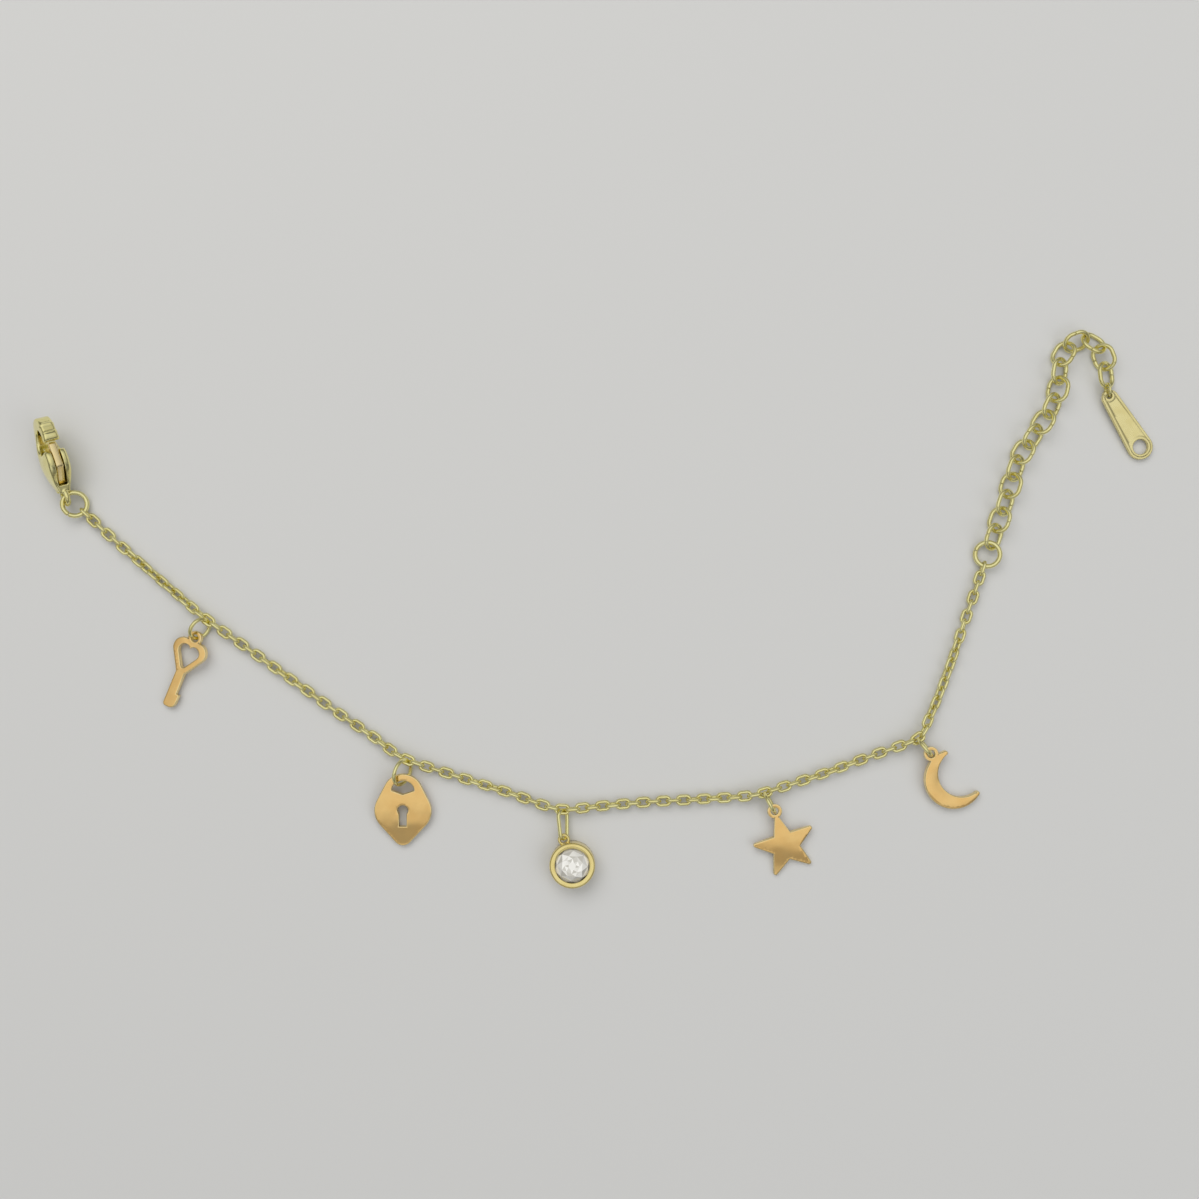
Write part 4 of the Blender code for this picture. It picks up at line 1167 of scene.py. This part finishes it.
# Brightness of the tent by height, and what is left of it by how far south it lies
SKY_STOPS = ((0.0, 0.16), (0.45, 0.28), (0.75, 0.72), (0.93, 0.86), (1.0, 0.84))
SEAM_STOPS = (
    (0.0, 1.0), (0.69, 1.0), (0.725, 0.42), (0.745, 0.45), (0.785, 0.95), (1.0, 0.9),
)
# Lamps aimed at the origin, in metres and watts: place, size, energy and colour
LAMPS = {
    "key_light": ((-0.15, 0.35, 0.45), (0.60, 0.40), 1.6, (1, 0.98, 0.94)),
    "fill_light": ((0.40, -0.20, 0.40), (0.45, 0.40), 0.6, (0.96, 0.98, 1)),
}
FLOOR_REACH = 1.5
FLOOR_DROP = 0.00002
CAMERA_HEIGHT = 0.1908
CAMERA_LENS = 42.2


def build_floor():
    """A plain pale surface, a hair below the bracelet so that the two never flicker."""
    shape = bmesh.new()
    bmesh.ops.create_grid(shape, x_segments=1, y_segments=1, size=FLOOR_REACH)
    bmesh.ops.translate(shape, vec=(0, 0, -FLOOR_DROP), verts=shape.verts)
    mesh = bpy.data.meshes.new("floor")
    shape.to_mesh(mesh)
    shape.free()
    floor = bpy.data.objects.new("floor", mesh)
    bpy.context.scene.collection.objects.link(floor)
    finish = Finish("pale_floor", "")
    finish.fill(finish.shader, {"Base Color": (0.64, 0.64, 0.63, 1), "Roughness": 0.85,
                                "Specular IOR Level": 0.2})
    mesh.materials.append(finish.material)


def build_light(name, place, size, energy, colour):
    """A soft lamp aimed at the origin; polished faces mirror the tent and not the lamp."""
    lamp = bpy.data.lights.new(name, "AREA")
    lamp.shape = "RECTANGLE"
    lamp.size, lamp.size_y = size
    lamp.energy = energy
    lamp.color = colour
    obj = bpy.data.objects.new(name, lamp)
    obj.location = place
    obj.rotation_euler = (-Vector(place)).to_track_quat("-Z", "Y").to_euler()
    obj.visible_glossy = False
    bpy.context.scene.collection.objects.link(obj)


def build_sky():
    """A soft studio tent: pale overhead, dimmer round the sides, a dark seam to the south."""
    world = bpy.data.worlds.new("studio")
    bpy.context.scene.world = world
    world.use_nodes = True
    tree = world.node_tree
    place = tree.nodes.new("ShaderNodeTexCoord")
    split = tree.nodes.new("ShaderNodeSeparateXYZ")
    tree.links.new(place.outputs["Generated"], split.inputs[0])

    def ramp_of(value, stops):
        ramp = tree.nodes.new("ShaderNodeValToRGB")
        ramp.color_ramp.elements[0].position = stops[0][0]
        ramp.color_ramp.elements[1].position = stops[-1][0]
        for position, _ in stops[1:-1]:
            ramp.color_ramp.elements.new(position)
        for element, (_, level) in zip(ramp.color_ramp.elements, stops):
            element.color = (level, level, level, 1)
        tree.links.new(value, ramp.inputs[0])
        return ramp.outputs[0]

    southing = tree.nodes.new("ShaderNodeMath")
    southing.operation = "MULTIPLY_ADD"
    southing.inputs[1].default_value = -0.5
    southing.inputs[2].default_value = 0.5
    tree.links.new(split.outputs["Y"], southing.inputs[0])
    tent = ramp_of(split.outputs["Z"], SKY_STOPS)
    seam = ramp_of(southing.outputs[0], SEAM_STOPS)
    product = tree.nodes.new("ShaderNodeMix")
    product.data_type = "RGBA"
    product.blend_type = "MULTIPLY"
    product.inputs[0].default_value = 1.0
    tree.links.new(tent, product.inputs[6])
    tree.links.new(seam, product.inputs[7])
    tree.links.new(product.outputs[2], tree.nodes["Background"].inputs["Color"])


def build_camera(middle):
    camera = bpy.data.cameras.new("camera")
    camera.sensor_width = 36
    camera.lens = CAMERA_LENS
    camera.clip_start = 0.01
    obj = bpy.data.objects.new("camera", camera)
    obj.location = (middle.x, middle.y, CAMERA_HEIGHT)
    bpy.context.scene.collection.objects.link(obj)
    bpy.context.scene.camera = obj


bpy.context.scene.view_settings.view_transform = "Standard"
PALE = gold_finish("pale_polished_gold", "pale_gold", (0.92, 0.86, 0.42), (0.82, 0.72, 0.28),
                   0.14, 0.02)
BEZEL = gold_finish("turned_bezel_gold", "pale_gold", (0.90, 0.76, 0.33), (0.80, 0.63, 0.22),
                    0.12, 0.01)
TAG = gold_finish("satin_tag_gold", "pale_gold", (0.86, 0.77, 0.38), (0.78, 0.67, 0.28),
                  0.24, 0.02)
WARM = charm_finish()
CLEAR = stone_finish()

the_chain = Chain(Route(CHAIN_ROUTE))
low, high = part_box("clasp_end_link")
offset = (low + high) * 500 - the_chain.point(0)
SHIFT = Matrix.Translation((offset.x, offset.y, 0))

build_chain_and_charms(the_chain)
build_clasp(the_chain.point(0), -flat_direction(the_chain.route.heading(0)))
build_extender(the_chain)

build_floor()
build_sky()
for lamp_name, lamp_values in LAMPS.items():
    build_light(lamp_name, *lamp_values)
build_camera(Vector((offset.x, offset.y, 0)) / 1000)
